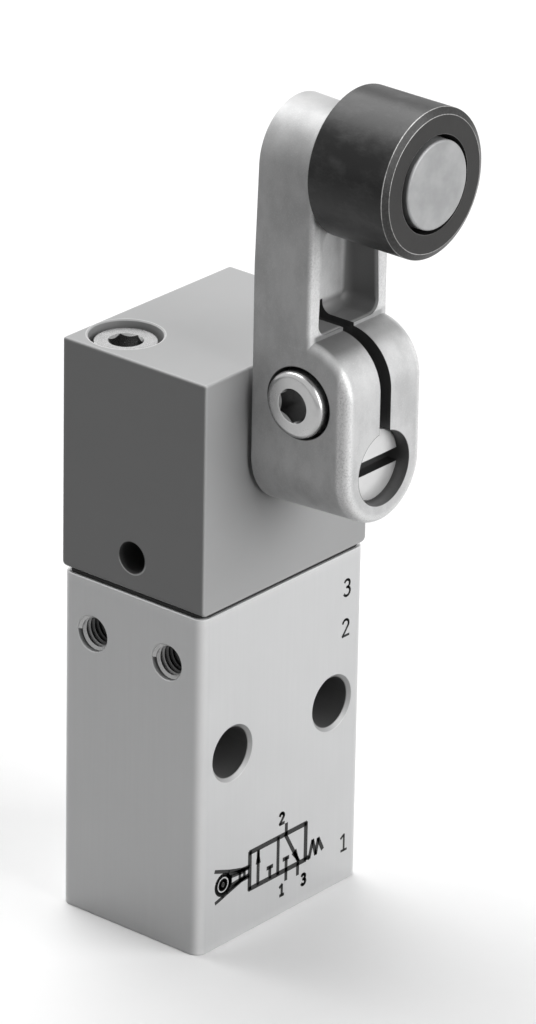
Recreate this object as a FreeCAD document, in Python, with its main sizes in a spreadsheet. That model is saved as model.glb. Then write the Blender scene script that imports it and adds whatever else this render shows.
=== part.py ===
import FreeCAD, Part
import math
import os
import Sketcher

# Roller lever air valve, 3/2-way, normally closed, millimetres.
# The origin is the middle of the valve body's bottom face. +Z is up, -Y is the
# front, where the lever stands, and +X is the side with the air ports.

os.makedirs("parts", exist_ok=True)
doc = FreeCAD.newDocument("RollerLeverValve")
sheet = doc.addObject("Spreadsheet::Sheet", "Sizes")

DRIVING_SIZES = {
    # Valve body
    "body_width": 32.6,
    "body_depth": 24.0,
    "body_height": 48.25,
    "body_corner_radius": 1.6,
    "body_edge_bevel": 0.12,
    "body_floor": 3.2,
    # Mounting holes, right through from front to back
    "mount_spacing": 20.0,
    "mount_height": 27.4,
    "mount_bore_radius": 3.5,
    "mount_bevel": 0.5,
    # Threaded holes: the pair in the left side and the three air ports. A drop is
    # measured down from the body's top.
    "thread_radius": 2.5,
    "thread_depth": 5.5,
    "thread_bevel": 0.1,
    "side_thread_spacing": 12.7,
    "side_thread_drop": 7.55,
    "side_thread_back": 0.35,
    "supply_height": 5.8,
    "outlet_drop": 11.2,
    "exhaust_drop": 5.4,
    "port_stagger": 4.5,
    "passage_stagger": 3.3,
    "passage_radius": 1.1,
    # Head
    "gasket_thickness": 0.45,
    "gasket_inset": 0.4,
    "head_height": 32.1,
    "head_foot_radius": 0.8,
    "head_edge_radius": 0.3,
    "head_corner_radius": 0.3,
    "chamber_wall": 1.4,
    "chamber_clearance": 0.3,
    "cam_headroom": 0.55,
    "vent_rise": 4.9,
    "vent_radius": 2.15,
    # Socket head screws, M5 with a head of 8.5 and a 4 mm hexagon
    "screw_radius": 2.5,
    "screw_clearance": 0.25,
    "screw_head_radius": 4.25,
    "screw_head_height": 5.0,
    "screw_head_sink": 0.8,
    "screw_pocket_clearance": 0.6,
    "screw_pocket_bevel": 0.18,
    "hexagon_width": 4.0,
    "hexagon_depth": 2.5,
    "head_screw_side_inset": 6.05,
    "head_screw_end_inset": 5.35,
    "head_screw_grip": 4.3,
    "screw_tip_gap": 0.2,
    # Lever shaft and what carries it
    "shaft_rise": 20.35,
    "shaft_radius": 4.98,
    "shaft_end_sink": 1.75,
    "shaft_land": 1.5,
    "shaft_tail_radius": 3.0,
    "shaft_tail_gap": 0.4,
    "head_back_wall": 1.85,
    "driver_slot_width": 1.9,
    "driver_slot_depth": 1.6,
    "running_clearance": 0.03,
    "fit_clearance": 0.02,
    "front_bush_wall": 1.17,
    "front_bush_length": 4.0,
    "rear_bush_wall": 1.45,
    "rear_bush_length": 3.4,
    "shaft_seal_length": 1.6,
    "shaft_seal_sink": 0.43,
    "circlip_thickness": 0.8,
    "circlip_stand": 0.92,
    "circlip_groove_depth": 0.6,
    # Cam on the shaft
    "cam_thickness": 5.2,
    "cam_hub_radius": 4.2,
    "cam_flat_distance": 4.6,
    "cam_base_radius": 2.4,
    "cam_flank_angle": 48.0,
    "cam_pin_radius": 0.75,
    "cam_pin_sink": 0.2,
    "contact_gap": 0.05,
    # Tappet
    "tappet_pad_radius": 3.6,
    "tappet_pad_height": 1.7,
    "tappet_disc_radius": 5.9,
    "tappet_disc_thickness": 1.5,
    "tappet_radius": 2.6,
    "tappet_length": 12.5,
    # Guide on top of the body
    "guide_flange_thickness": 2.0,
    "guide_hub_radius": 4.2,
    "guide_hub_height": 7.0,
    "guide_socket_floor": 1.4,
    "guide_spigot_length": 2.6,
    # Bore of the body and the stack in it
    "body_bore_radius": 5.0,
    "supply_bore_radius": 4.4,
    "seat_drop": 23.0,
    "seat_sleeve_length": 15.4,
    "seat_opening_radius": 2.7,
    "seat_lip_width": 0.45,
    "seat_lip_height": 0.4,
    "seat_throat_length": 1.5,
    "outlet_chamber_radius": 3.2,
    "stem_partition_length": 2.5,
    "cage_inner_radius": 3.6,
    "cross_hole_radius": 0.9,
    "air_groove_depth": 0.65,
    "air_groove_width": 2.0,
    "lower_ring_rise": 5.2,
    "upper_ring_drop": 1.05,
    "guide_ring_drop": 1.3,
    "ring_groove_depth": 1.1,
    "ring_groove_width": 1.3,
    "ring_clearance": 0.02,
    # Valve stem
    "stem_radius": 2.0,
    "stem_clearance": 0.05,
    "stem_play": 0.25,
    "stem_nose_radius": 1.7,
    "stem_nose_length": 2.2,
    "stem_bore_radius": 0.9,
    "stem_bore_length": 19.0,
    "stem_vent_radius": 0.6,
    "stem_flange_radius": 3.2,
    "stem_flange_rise": 4.0,
    "stem_flange_thickness": 0.8,
    "stem_ring_groove_depth": 0.55,
    "stem_ring_groove_width": 0.7,
    "stem_lower_ring_drop": 0.4,
    "stem_upper_ring_drop": 0.4,
    "exhaust_gap": 0.4,
    # Poppet
    "poppet_clearance": 0.15,
    "poppet_length": 4.0,
    "poppet_rim_drop": 0.5,
    "poppet_spigot_radius": 2.0,
    "poppet_spigot_length": 2.5,
    "poppet_seal_radius": 3.35,
    "poppet_seal_thickness": 1.4,
    # Springs, and how far a cutting outline runs past the solid
    "tappet_spring_radius": 5.2,
    "tappet_spring_wire": 0.42,
    "tappet_spring_turns": 4.0,
    "stem_spring_radius": 2.75,
    "stem_spring_wire": 0.22,
    "stem_spring_turns": 3.0,
    "poppet_spring_radius": 2.9,
    "poppet_spring_wire": 0.32,
    "poppet_spring_turns": 7.0,
    "spring_end_gap": 0.02,
    "overshoot": 1.0,
    # Lever, measured up from the shaft's axis
    "lever_gap": 0.75,
    "arm_thickness": 8.7,
    "boss_length": 15.0,
    "boss_radius": 8.15,
    "boss_top": 17.8,
    "boss_shoulder_radius": 6.9,
    "boss_draft": 3.0,
    "boss_rim_radius": 1.1,
    "arm_length": 40.15,
    "arm_straight": 26.0,
    "arm_end_radius": 7.6,
    "crown_drop": 1.15,
    "arm_front_straight": 25.0,
    "arm_end_draft": 0.3,
    "arm_inset": 0.02,
    "arm_edge_radius": 0.55,
    "channel_depth": 5.2,
    "channel_half_width": 6.0,
    "channel_top_half_width": 5.35,
    "channel_top_drop": 8.45,
    "channel_corner_radius": 1.7,
    "channel_floor_radius": 1.4,
    "slit_width": 2.1,
    "slit_rise": 1.8,
    "bore_clearance": 0.02,
    # Clamp screw across the slit
    "clamp_height": 9.1,
    "clamp_inset": 7.25,
    "clamp_head_radius": 4.45,
    "clamp_head_height": 4.2,
    "clamp_pocket_clearance": 0.4,
    "clamp_pocket_depth": 3.35,
    "clamp_screw_inset": 0.95,
    "clamp_rim_radius": 0.8,
    # Roller, its pin and washer
    "washer_thickness": 0.6,
    "washer_radius": 5.2,
    "roller_gap": 0.15,
    "roller_radius": 9.8,
    "roller_width": 12.4,
    "roller_back_bevel": 0.25,
    "roller_front_bevel": 0.5,
    "roller_front_lip": 0.9,
    "roller_bore_radius": 4.0,
    "roller_recess_radius": 6.4,
    "roller_recess_depth": 2.8,
    "pin_head_clearance": 0.6,
    "pin_head_stand": 0.45,
    "pin_head_gap": 0.1,
    "pin_tail_radius": 3.0,
    "pin_rivet_spread": 1.0,
    "pin_rivet_depth": 1.0,
    "pin_edge_radius": 0.3,
}

for row, (alias, value) in enumerate(DRIVING_SIZES.items(), start=1):
    sheet.set(f"A{row}", alias)
    sheet.set(f"B{row}", str(value))
    sheet.setAlias(f"B{row}", alias)
doc.recompute()


class Size:
    """A number that also carries the sheet expression it comes from."""

    def __init__(self, value, text):
        self.value = value
        self.text = text

    def joined(self, other, sign, result, swap=False):
        texts = [self.text, other.text if isinstance(other, Size) else repr(other)]
        if swap:
            texts.reverse()
        return Size(result, f"({texts[0]} {sign} {texts[1]})")

    def __add__(self, other):
        return self.joined(other, "+", self.value + number(other))

    def __radd__(self, other):
        return self.joined(other, "+", number(other) + self.value, swap=True)

    def __sub__(self, other):
        return self.joined(other, "-", self.value - number(other))

    def __rsub__(self, other):
        return self.joined(other, "-", number(other) - self.value, swap=True)

    def __mul__(self, other):
        return self.joined(other, "*", self.value * number(other))

    def __rmul__(self, other):
        return self.joined(other, "*", number(other) * self.value, swap=True)

    def __truediv__(self, other):
        return self.joined(other, "/", self.value / number(other))

    def __neg__(self):
        return Size(-self.value, f"(0 - {self.text})")


def number(value):
    return value.value if isinstance(value, Size) else float(value)


def slope(degrees):
    """How far a face leans out of line for every millimetre along it."""
    tangent = math.tan(math.radians(degrees.value))
    return Size(tangent, f"tan({degrees.text} * 1 deg)")


def diagonal(across, up):
    """The length of a line that goes that far across and up."""
    length = math.hypot(across.value, up.value)
    return Size(length, f"sqrt({across.text} * {across.text} + {up.text} * {up.text})")


class Sheet:
    """The spreadsheet's cells as Size values, by their alias."""

    def __getattr__(self, alias):
        return Size(float(getattr(sheet, alias)), f"Sizes.{alias}")


s = Sheet()

CAM_STEPS = 8
PLANES = {"top": "XY_Plane", "front": "XZ_Plane", "side": "YZ_Plane"}
FORWARD = FreeCAD.Rotation(FreeCAD.Vector(1, 0, 0), 90)
SIDEWAYS = FreeCAD.Rotation(FreeCAD.Vector(0, 1, 0), 90)
UPRIGHT = FreeCAD.Rotation()


def bind(thing, prop, size):
    """Set a property and tie it to its sheet expression."""
    if isinstance(size, Size):
        thing.setExpression(prop, size.text)


def place(thing, x=0.0, y=0.0, z=0.0, rotation=UPRIGHT):
    base = FreeCAD.Vector(number(x), number(y), number(z))
    thing.Placement = FreeCAD.Placement(base, rotation)
    for axis, size in (("x", x), ("y", y), ("z", z)):
        bind(thing, f"Placement.Base.{axis}", size)


def new_body(name):
    body = doc.addObject("PartDesign::Body", name)
    body.Label = name
    return body


def new_sketch(body, name, plane, offset=0.0):
    """A sketch on one of the body's own origin planes, moved along its normal."""
    sketch = body.newObject("Sketcher::SketchObject", name)
    role = PLANES[plane]
    support = [item for item in body.Origin.OriginFeatures if item.Role == role][0]
    sketch.AttachmentSupport = (support, [""])
    sketch.MapMode = "FlatFace"
    sketch.AttachmentOffset = FreeCAD.Placement(FreeCAD.Vector(0, 0, number(offset)), UPRIGHT)
    bind(sketch, "AttachmentOffset.Base.z", offset)
    return sketch


def hold(sketch, kind, *target):
    """Add a constraint, and tie its last value to the sheet."""
    size = target[-1]
    index = sketch.addConstraint(Sketcher.Constraint(kind, *target[:-1], number(size)))
    bind(sketch, f"Constraints[{index}]", size)


def hold_point(sketch, shape, end, across, up):
    """Fix a point of the sketch by its two coordinates."""
    for kind, size, axis in (("DistanceX", across, -2), ("DistanceY", up, -1)):
        if isinstance(size, Size):
            hold(sketch, kind, shape, end, size)
        elif size == 0:
            sketch.addConstraint(Sketcher.Constraint("PointOnObject", shape, end, axis))
        else:
            sketch.addConstraint(Sketcher.Constraint(kind, shape, end, float(size)))


def vector(across, up):
    return FreeCAD.Vector(number(across), number(up), 0)


def draw_polygon(sketch, points):
    """A closed outline of straight lines with every corner fixed."""
    first = sketch.GeometryCount
    count = len(points)
    for i, point in enumerate(points):
        following = points[(i + 1) % count]
        sketch.addGeometry(Part.LineSegment(vector(*point), vector(*following)))
    for i, point in enumerate(points):
        joint = (first + i, 2, first + (i + 1) % count, 1)
        sketch.addConstraint(Sketcher.Constraint("Coincident", *joint))
        hold_point(sketch, first + i, 1, *point)


def draw_circle(sketch, across, up, radius):
    circle = Part.Circle(vector(across, up), FreeCAD.Vector(0, 0, 1), number(radius))
    index = sketch.addGeometry(circle)
    hold_point(sketch, index, 3, across, up)
    hold(sketch, "Radius", index, radius)


def draw_box(sketch, left, right, low, high):
    draw_polygon(sketch, [(left, low), (right, low), (right, high), (left, high)])


def pad(body, sketch, length, name, reverse=False, draft=0.0):
    feature = body.newObject("PartDesign::Pad", name)
    feature.Profile = sketch
    feature.Length = number(length)
    bind(feature, "Length", length)
    feature.Reversed = reverse
    feature.TaperAngle = number(draft)
    bind(feature, "TaperAngle", draft)
    return feature


def cut(body, sketch, name, length, reverse=False):
    """A pocket of the given depth."""
    feature = body.newObject("PartDesign::Pocket", name)
    feature.Profile = sketch
    feature.Length = number(length)
    bind(feature, "Length", length)
    feature.Reversed = reverse
    return feature


def cut_through(body, sketch, name, both_ways=True):
    """A pocket right through the solid, to both sides of the sketch or to one."""
    feature = body.newObject("PartDesign::Pocket", name)
    feature.Profile = sketch
    feature.Type = "ThroughAll"
    feature.Midplane = both_ways
    return feature


def turn(body, sketch, name, kind="Revolution"):
    """Turn an outline about the sketch's upright axis."""
    feature = body.newObject(f"PartDesign::{kind}", name)
    feature.Profile = sketch
    feature.ReferenceAxis = (sketch, ["V_Axis"])
    feature.Angle = 360
    return feature


def edges_where(feature, test):
    """Names of the edges of a feature that pass a test of their box."""
    doc.recompute()
    names = []
    for i, edge in enumerate(feature.Shape.Edges, start=1):
        if test(edge):
            names.append(f"Edge{i}")
    return names


def soften(body, base, edges, size, name, kind="Fillet"):
    """Round or bevel the named edges of the body's last feature."""
    feature = body.newObject(f"PartDesign::{kind}", name)
    feature.Base = (base, edges)
    prop = "Radius" if kind == "Fillet" else "Size"
    setattr(feature, prop, number(size))
    bind(feature, prop, size)
    return feature


def near(a, b):
    return abs(a - b) < 1e-4


def is_round(edge, radius=None):
    """Whether an edge is part of a circle, and of the given radius."""
    if edge.Degenerated or not isinstance(edge.Curve, Part.Circle):
        return False
    return radius is None or near(edge.Curve.Radius, number(radius))


def turned_body(name, outline):
    """A round piece from its half outline: radius across, height up."""
    body = new_body(name)
    sketch = new_sketch(body, f"{name}_outline", "front")
    draw_polygon(sketch, outline)
    turn(body, sketch, f"{name}_turned")
    return body


def tube_outline(inner, outer, low, high):
    return [(inner, low), (outer, low), (outer, high), (inner, high)]


def cylinder(name, radius, height):
    solid = doc.addObject("Part::Cylinder", name)
    solid.Label = name
    for prop, size in (("Radius", radius), ("Height", height)):
        setattr(solid, prop, size.value)
        bind(solid, prop, size)
    return solid


def octagon(across, up, reach):
    """Corners of an octagon whose flats lie that far from its middle."""
    half_flat = reach * math.tan(math.pi / 8)
    steps = [(reach, half_flat), (half_flat, reach), (-half_flat, reach), (-reach, half_flat),
             (-reach, -half_flat), (-half_flat, -reach), (half_flat, -reach), (reach, -half_flat)]
    return [(across + right, up + rise) for right, rise in steps]


def coil_spring(name, radius, wire, turns, low, high):
    """A wire wound about the upright axis between two seats."""
    body = new_body(name)
    sketch = new_sketch(body, f"{name}_wire", "front")
    draw_polygon(sketch, octagon(radius, low + wire, wire))
    helix = body.newObject("PartDesign::AdditiveHelix", f"{name}_coils")
    helix.Profile = sketch
    helix.ReferenceAxis = (sketch, ["V_Axis"])
    helix.Mode = "height-turns-angle"
    rise = high - low - 2 * wire
    helix.Height = rise.value
    helix.Turns = turns.value
    bind(helix, "Height", rise)
    bind(helix, "Turns", turns)
    return body


def hexagon(sketch, corner):
    """A hexagon of that corner radius, with two corners on the sketch's level line."""
    points = []
    for i in range(6):
        angle = math.radians(60 * i)
        points.append((corner * round(math.cos(angle), 9), corner * round(math.sin(angle), 9)))
    draw_polygon(sketch, points)


# Places that several pieces share

half_width = s.body_width / 2
half_depth = s.body_depth / 2
head_bottom = s.body_height + s.gasket_thickness
head_top = head_bottom + s.head_height
shaft_height = head_bottom + s.shaft_rise
chamber_top = shaft_height + s.cam_hub_radius + s.cam_headroom
vent_height = head_bottom + s.vent_rise
side_thread_height = s.body_height - s.side_thread_drop
outlet_height = s.body_height - s.outlet_drop
exhaust_height = s.body_height - s.exhaust_drop
ports = {
    "supply": (0.0, 0.0, s.supply_height),
    "outlet": (-s.port_stagger, -s.passage_stagger, outlet_height),
    "exhaust": (s.port_stagger, s.passage_stagger, exhaust_height),
}

# Screws that hold the head
screw_x = half_width - s.head_screw_side_inset
screw_y = half_depth - s.head_screw_end_inset
head_screw_places = [(-screw_x, screw_y), (screw_x, -screw_y)]
screw_hole_radius = s.screw_radius + s.screw_clearance
screw_pocket_radius = s.screw_head_radius + s.screw_pocket_clearance
screw_head_top = head_top - s.screw_head_sink
screw_pocket_floor = screw_head_top - s.screw_head_height
screw_tip = s.body_height - s.head_screw_grip
chamber_radius = diagonal(screw_x, screw_y) - screw_hole_radius - s.chamber_wall

# Seat, cage and guide, stacked in the body's bore
stack_radius = s.body_bore_radius - s.running_clearance
seat_height = s.body_height - s.seat_drop
seat_lip_bottom = seat_height - s.seat_lip_height
sleeve_top = seat_height + s.seat_sleeve_length
spigot_bottom = s.body_height - s.guide_spigot_length
guide_ring_height = s.body_height - s.guide_ring_drop
guide_flange_radius = chamber_radius - s.chamber_clearance
guide_flange_top = s.body_height + s.guide_flange_thickness
guide_socket_bottom = s.body_height + s.guide_socket_floor
stem_hole_radius = s.stem_radius + s.stem_clearance

# Tappet, stem and poppet at rest
tappet_top = shaft_height - s.cam_flat_distance - s.contact_gap
tappet_bottom = tappet_top - s.tappet_length
tappet_disc_top = tappet_top - s.tappet_pad_height
tappet_disc_bottom = tappet_disc_top - s.tappet_disc_thickness
poppet_top = seat_lip_bottom - s.fit_clearance
poppet_cup_floor = poppet_top - s.poppet_seal_thickness
poppet_rim = poppet_top - s.poppet_rim_drop
poppet_bottom = poppet_rim - s.poppet_length
stem_top = tappet_bottom - s.stem_play
stem_bottom = poppet_top + s.exhaust_gap
stem_flange_height = sleeve_top + s.stem_flange_rise
stem_ring_heights = {
    "lower": sleeve_top - s.stem_lower_ring_drop,
    "upper": s.body_height - s.stem_upper_ring_drop,
}
cartridge_ring_heights = {
    "lower": seat_height + s.lower_ring_rise,
    "upper": sleeve_top - s.upper_ring_drop,
}

# Along the shaft, forward from its middle
front_bush_end = half_depth - s.shaft_seal_sink - s.shaft_seal_length - s.fit_clearance
front_bush_start = front_bush_end - s.front_bush_length
front_bush_radius = s.shaft_radius + s.running_clearance + s.front_bush_wall + s.fit_clearance
rear_bush_radius = s.shaft_tail_radius + s.running_clearance + s.rear_bush_wall + s.fit_clearance
shaft_shoulder = front_bush_start - s.shaft_land
shaft_tail_end = half_depth - s.head_back_wall - s.shaft_tail_gap
circlip_radius = s.shaft_radius + s.circlip_stand
lever_back = half_depth + s.lever_gap
lever_front = lever_back + s.arm_thickness
boss_front = lever_back + s.boss_length
shaft_end = boss_front - s.shaft_end_sink
clamp_forward = lever_back + s.clamp_inset
roller_start = lever_front + s.washer_thickness + s.roller_gap
roller_end = roller_start + s.roller_width

# Across the lever
arm_front_half = s.boss_radius - s.arm_thickness * slope(s.boss_draft) - s.arm_inset
channel_floor = lever_front - s.channel_depth
clamp_pocket_radius = s.clamp_head_radius + s.clamp_pocket_clearance
clamp_pocket_floor = s.boss_radius - s.clamp_pocket_depth
pin_rivet_radius = s.pin_tail_radius + s.pin_rivet_spread
pin_head_radius = s.roller_recess_radius - s.pin_head_clearance


# Valve body

def make_valve_body():
    body = new_body("valve_body")
    sketch = new_sketch(body, "body_plan", "top")
    draw_box(sketch, -half_width, half_width, -half_depth, half_depth)
    block = pad(body, sketch, s.body_height, "body_block")
    uprights = edges_where(block, lambda e: near(e.BoundBox.ZLength, s.body_height.value))
    rounded = soften(body, block, uprights, s.body_corner_radius, "body_corners")
    flat_edges = edges_where(rounded, lambda e: e.BoundBox.ZLength < 1e-6)
    soften(body, rounded, flat_edges, s.body_edge_bevel, "body_bevels", "Chamfer")

    sketch = new_sketch(body, "valve_bores", "front")
    draw_polygon(sketch, [
        (0, s.body_floor),
        (s.supply_bore_radius, s.body_floor),
        (s.supply_bore_radius, seat_height),
        (s.body_bore_radius, seat_height),
        (s.body_bore_radius, s.body_height + s.overshoot),
        (0, s.body_height + s.overshoot),
    ])
    turn(body, sketch, "valve_bore", "Groove")

    for side, name in ((-1, "left"), (1, "right")):
        drill_mounting_hole(body, f"{name}_mounting_hole", side * s.mount_spacing / 2)
    for side, name in ((-1, "front"), (1, "rear")):
        sketch = new_sketch(body, f"{name}_side_thread_plan", "side", -half_width)
        draw_circle(sketch, s.side_thread_back + side * s.side_thread_spacing / 2,
                    side_thread_height, s.thread_radius)
        cut(body, sketch, f"{name}_side_thread", s.thread_depth, reverse=True)
    for name, (port_y, passage_y, height) in ports.items():
        sketch = new_sketch(body, f"{name}_port_plan", "side", half_width)
        draw_circle(sketch, port_y, height, s.thread_radius)
        cut(body, sketch, f"{name}_port", s.thread_depth)
        sketch = new_sketch(body, f"{name}_passage_plan", "side", half_width)
        draw_circle(sketch, passage_y, height, s.passage_radius)
        cut(body, sketch, f"{name}_passage", half_width - s.supply_bore_radius / 2)

    sketch = new_sketch(body, "head_screw_holes_plan", "top", s.body_height)
    for x, y in head_screw_places:
        draw_circle(sketch, x, y, s.thread_radius)
    holes = cut(body, sketch, "head_screw_holes", s.head_screw_grip + s.screw_tip_gap)

    def is_thread_mouth(edge):
        return is_round(edge, s.thread_radius) and near(abs(edge.Curve.Center.x), half_width.value)

    mouths = edges_where(holes, is_thread_mouth)
    soften(body, holes, mouths, s.thread_bevel, "thread_mouths", "Chamfer")
    return body


def drill_mounting_hole(body, name, across):
    """A through hole with a bevelled mouth at both faces."""
    sketch = new_sketch(body, f"{name}_plan", "front")
    draw_circle(sketch, across, s.mount_height, s.mount_bore_radius)
    hole = cut_through(body, sketch, name)

    def is_mouth(edge):
        if not is_round(edge, s.mount_bore_radius):
            return False
        centre = edge.Curve.Center
        return near(centre.x, across.value) and near(abs(centre.y), half_depth.value)

    soften(body, hole, edges_where(hole, is_mouth), s.mount_bevel, f"{name}_mouths", "Chamfer")


# Gasket between body and head

def make_head_gasket():
    body = new_body("head_gasket")
    side = half_width - s.gasket_inset
    end = half_depth - s.gasket_inset
    sketch = new_sketch(body, "gasket_plan", "top", s.body_height)
    draw_box(sketch, -side, side, -end, end)
    draw_circle(sketch, 0, 0, chamber_radius)
    for x, y in head_screw_places:
        draw_circle(sketch, x, y, screw_hole_radius)
    sheet_pad = pad(body, sketch, s.gasket_thickness, "gasket_sheet")

    def is_corner(edge):
        box = edge.BoundBox
        upright = near(box.ZLength, s.gasket_thickness.value)
        return upright and near(abs(box.XMin), side.value)

    soften(body, sheet_pad, edges_where(sheet_pad, is_corner), s.body_corner_radius,
           "gasket_corners")
    return body


# Head

def make_head_housing():
    body = new_body("head_housing")
    sketch = new_sketch(body, "head_plan", "top", head_bottom)
    draw_box(sketch, -half_width, half_width, -half_depth, half_depth)
    block = pad(body, sketch, s.head_height, "head_block")

    def is_foot(edge):
        box = edge.BoundBox
        return near(box.ZMax, head_bottom.value) and near(box.XLength, 0)

    def is_back_corner(edge):
        box = edge.BoundBox
        return near(box.ZLength, s.head_height.value) and near(box.YMin, half_depth.value)

    backed = soften(body, block, edges_where(block, is_back_corner), s.head_corner_radius,
                    "head_back_corners")
    footed = soften(body, backed, edges_where(backed, is_foot), s.head_foot_radius, "head_foot")
    others = edges_where(footed, lambda e: e.BoundBox.ZMax > shaft_height.value)
    soften(body, footed, others, s.head_edge_radius, "head_edges")

    sketch = new_sketch(body, "chamber_plan", "top", head_bottom)
    draw_circle(sketch, 0, 0, chamber_radius)
    cut(body, sketch, "chamber", chamber_top - head_bottom, reverse=True)

    sketch = new_sketch(body, "front_bush_seat_plan", "front", half_depth)
    draw_circle(sketch, 0, shaft_height, front_bush_radius)
    seat_depth = half_depth - shaft_shoulder + s.running_clearance
    cut(body, sketch, "front_bush_seat", seat_depth)

    sketch = new_sketch(body, "rear_bush_seat_plan", "front", 0.0)
    draw_circle(sketch, 0, shaft_height, rear_bush_radius)
    cut(body, sketch, "rear_bush_seat", half_depth - s.head_back_wall)

    sketch = new_sketch(body, "screw_holes_plan", "top", head_top)
    for x, y in head_screw_places:
        draw_circle(sketch, x, y, screw_hole_radius)
    cut_through(body, sketch, "screw_holes", both_ways=False)
    sketch = new_sketch(body, "screw_pockets_plan", "top", head_top)
    for x, y in head_screw_places:
        draw_circle(sketch, x, y, screw_pocket_radius)
    pockets = cut(body, sketch, "screw_pockets", s.screw_head_sink + s.screw_head_height)

    def is_pocket_mouth(edge):
        return is_round(edge, screw_pocket_radius) and near(edge.Curve.Center.z, head_top.value)

    mouths = edges_where(pockets, is_pocket_mouth)
    soften(body, pockets, mouths, s.screw_pocket_bevel, "pocket_mouths", "Chamfer")

    sketch = new_sketch(body, "vent_plan", "side", -half_width)
    draw_circle(sketch, 0, vent_height, s.vent_radius)
    cut(body, sketch, "vent_hole", half_width, reverse=True)
    return body


# Fasteners

def make_cap_screw(name, head_radius, head_height, shank_radius, shank_length, rim):
    """A socket head screw, tip down, with the underside of its head at zero."""
    tip = shank_radius / 4
    body = turned_body(name, [
        (0, -shank_length),
        (shank_radius - tip, -shank_length),
        (shank_radius, tip - shank_length),
        (shank_radius, 0),
        (head_radius, 0),
        (head_radius, head_height),
        (0, head_height),
    ])
    turned = body.Tip

    def is_rim(edge):
        return is_round(edge, head_radius) and near(edge.Curve.Center.z, head_height.value)

    soften(body, turned, edges_where(turned, is_rim), rim, f"{name}_rim")
    sketch = new_sketch(body, f"{name}_hexagon", "top", head_height)
    corner = s.hexagon_width / math.sqrt(3)
    hexagon(sketch, corner)
    cut(body, sketch, f"{name}_socket", s.hexagon_depth)
    lead = corner + s.fit_clearance
    sketch = new_sketch(body, f"{name}_lead_outline", "front")
    draw_polygon(sketch, [(0, head_height), (lead, head_height), (0, head_height - lead)])
    turn(body, sketch, f"{name}_lead", "Groove")
    return body


def make_head_screws():
    length = screw_pocket_floor - screw_tip
    screw = make_cap_screw("left_head_screw", s.screw_head_radius, s.screw_head_height,
                           s.screw_radius - s.fit_clearance, length, s.head_edge_radius)
    x, y = head_screw_places[0]
    place(screw, x, y, screw_pocket_floor)
    twin = doc.addObject("Part::Mirroring", "right_head_screw")
    twin.Source = screw
    twin.Normal = FreeCAD.Vector(x.value, y.value, 0)
    bind(twin, "Normal.x", x)
    bind(twin, "Normal.y", y)
    return group("head_screws", [screw, twin])


def group(name, members):
    """Like pieces as one node of separate solids."""
    compound = doc.addObject("Part::Compound", name)
    compound.Label = name
    compound.Links = members
    return compound


# Shaft, its bushes, seal and circlip. They lie along the line from back to front,
# so each is drawn upright and laid forward at the shaft's height.

def lay_forward(thing):
    place(thing, z=shaft_height, rotation=FORWARD)
    return thing


def make_lever_shaft():
    groove_end = front_bush_start - s.fit_clearance
    groove_start = groove_end - s.circlip_thickness - s.fit_clearance
    groove_radius = s.shaft_radius - s.circlip_groove_depth
    bevel = s.head_edge_radius
    body = turned_body("lever_shaft", [
        (0, -shaft_tail_end),
        (s.shaft_tail_radius - bevel, -shaft_tail_end),
        (s.shaft_tail_radius, bevel - shaft_tail_end),
        (s.shaft_tail_radius, shaft_shoulder),
        (s.shaft_radius, shaft_shoulder),
        (s.shaft_radius, groove_start),
        (groove_radius, groove_start),
        (groove_radius, groove_end),
        (s.shaft_radius, groove_end),
        (s.shaft_radius, shaft_end - bevel),
        (s.shaft_radius - bevel, shaft_end),
        (0, shaft_end),
    ])
    sketch = new_sketch(body, "driver_slot_plan", "top", shaft_end)
    half_slot = s.driver_slot_width / 2
    reach = s.shaft_radius + s.overshoot
    draw_box(sketch, -reach, reach, -half_slot, half_slot)
    cut(body, sketch, "driver_slot", s.driver_slot_depth)
    sketch = new_sketch(body, "cam_pin_hole_plan", "side")
    draw_circle(sketch, 0, 0, s.cam_pin_radius)
    cut_through(body, sketch, "cam_pin_hole")
    return lay_forward(body)


def make_shaft_circlip():
    groove_end = front_bush_start - s.fit_clearance
    start = groove_end - s.circlip_thickness
    body = new_body("shaft_circlip")
    sketch = new_sketch(body, "circlip_plan", "top", start)
    draw_circle(sketch, 0, 0, circlip_radius)
    draw_circle(sketch, 0, 0, s.shaft_radius - s.circlip_groove_depth + s.fit_clearance)
    pad(body, sketch, s.circlip_thickness, "circlip_ring")
    sketch = new_sketch(body, "circlip_mouth_plan", "top", start)
    half_mouth = s.shaft_tail_radius
    draw_box(sketch, -half_mouth, half_mouth, 0, circlip_radius + s.overshoot)
    cut(body, sketch, "circlip_mouth", s.circlip_thickness, reverse=True)
    return lay_forward(body)


def make_bushes():
    front = turned_body("front_shaft_bush", tube_outline(
        s.shaft_radius + s.running_clearance, front_bush_radius - s.fit_clearance,
        front_bush_start, front_bush_end))
    rear_start = -shaft_tail_end - s.shaft_tail_gap / 2
    rear = turned_body("rear_shaft_bush", tube_outline(
        s.shaft_tail_radius + s.running_clearance, rear_bush_radius - s.fit_clearance,
        rear_start, rear_start + s.rear_bush_length))
    return [lay_forward(front), lay_forward(rear)]


def make_shaft_seal():
    low = front_bush_end + s.fit_clearance
    high = low + s.shaft_seal_length
    outer = front_bush_radius - s.fit_clearance
    inner = s.shaft_radius + s.fit_clearance
    middle = (inner + outer) / 2
    body = turned_body("shaft_seal", [
        (inner + s.running_clearance, low),
        (outer, low),
        (outer, high),
        (middle, high),
        (middle, high - s.shaft_seal_length / 4),
        (inner, high - s.shaft_seal_length / 3),
    ])
    return lay_forward(body)


# Cam. Below its flat the flanks are involutes of the base circle, so a flat
# follower sinks by the base radius times the angle, the same for both ways.

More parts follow.
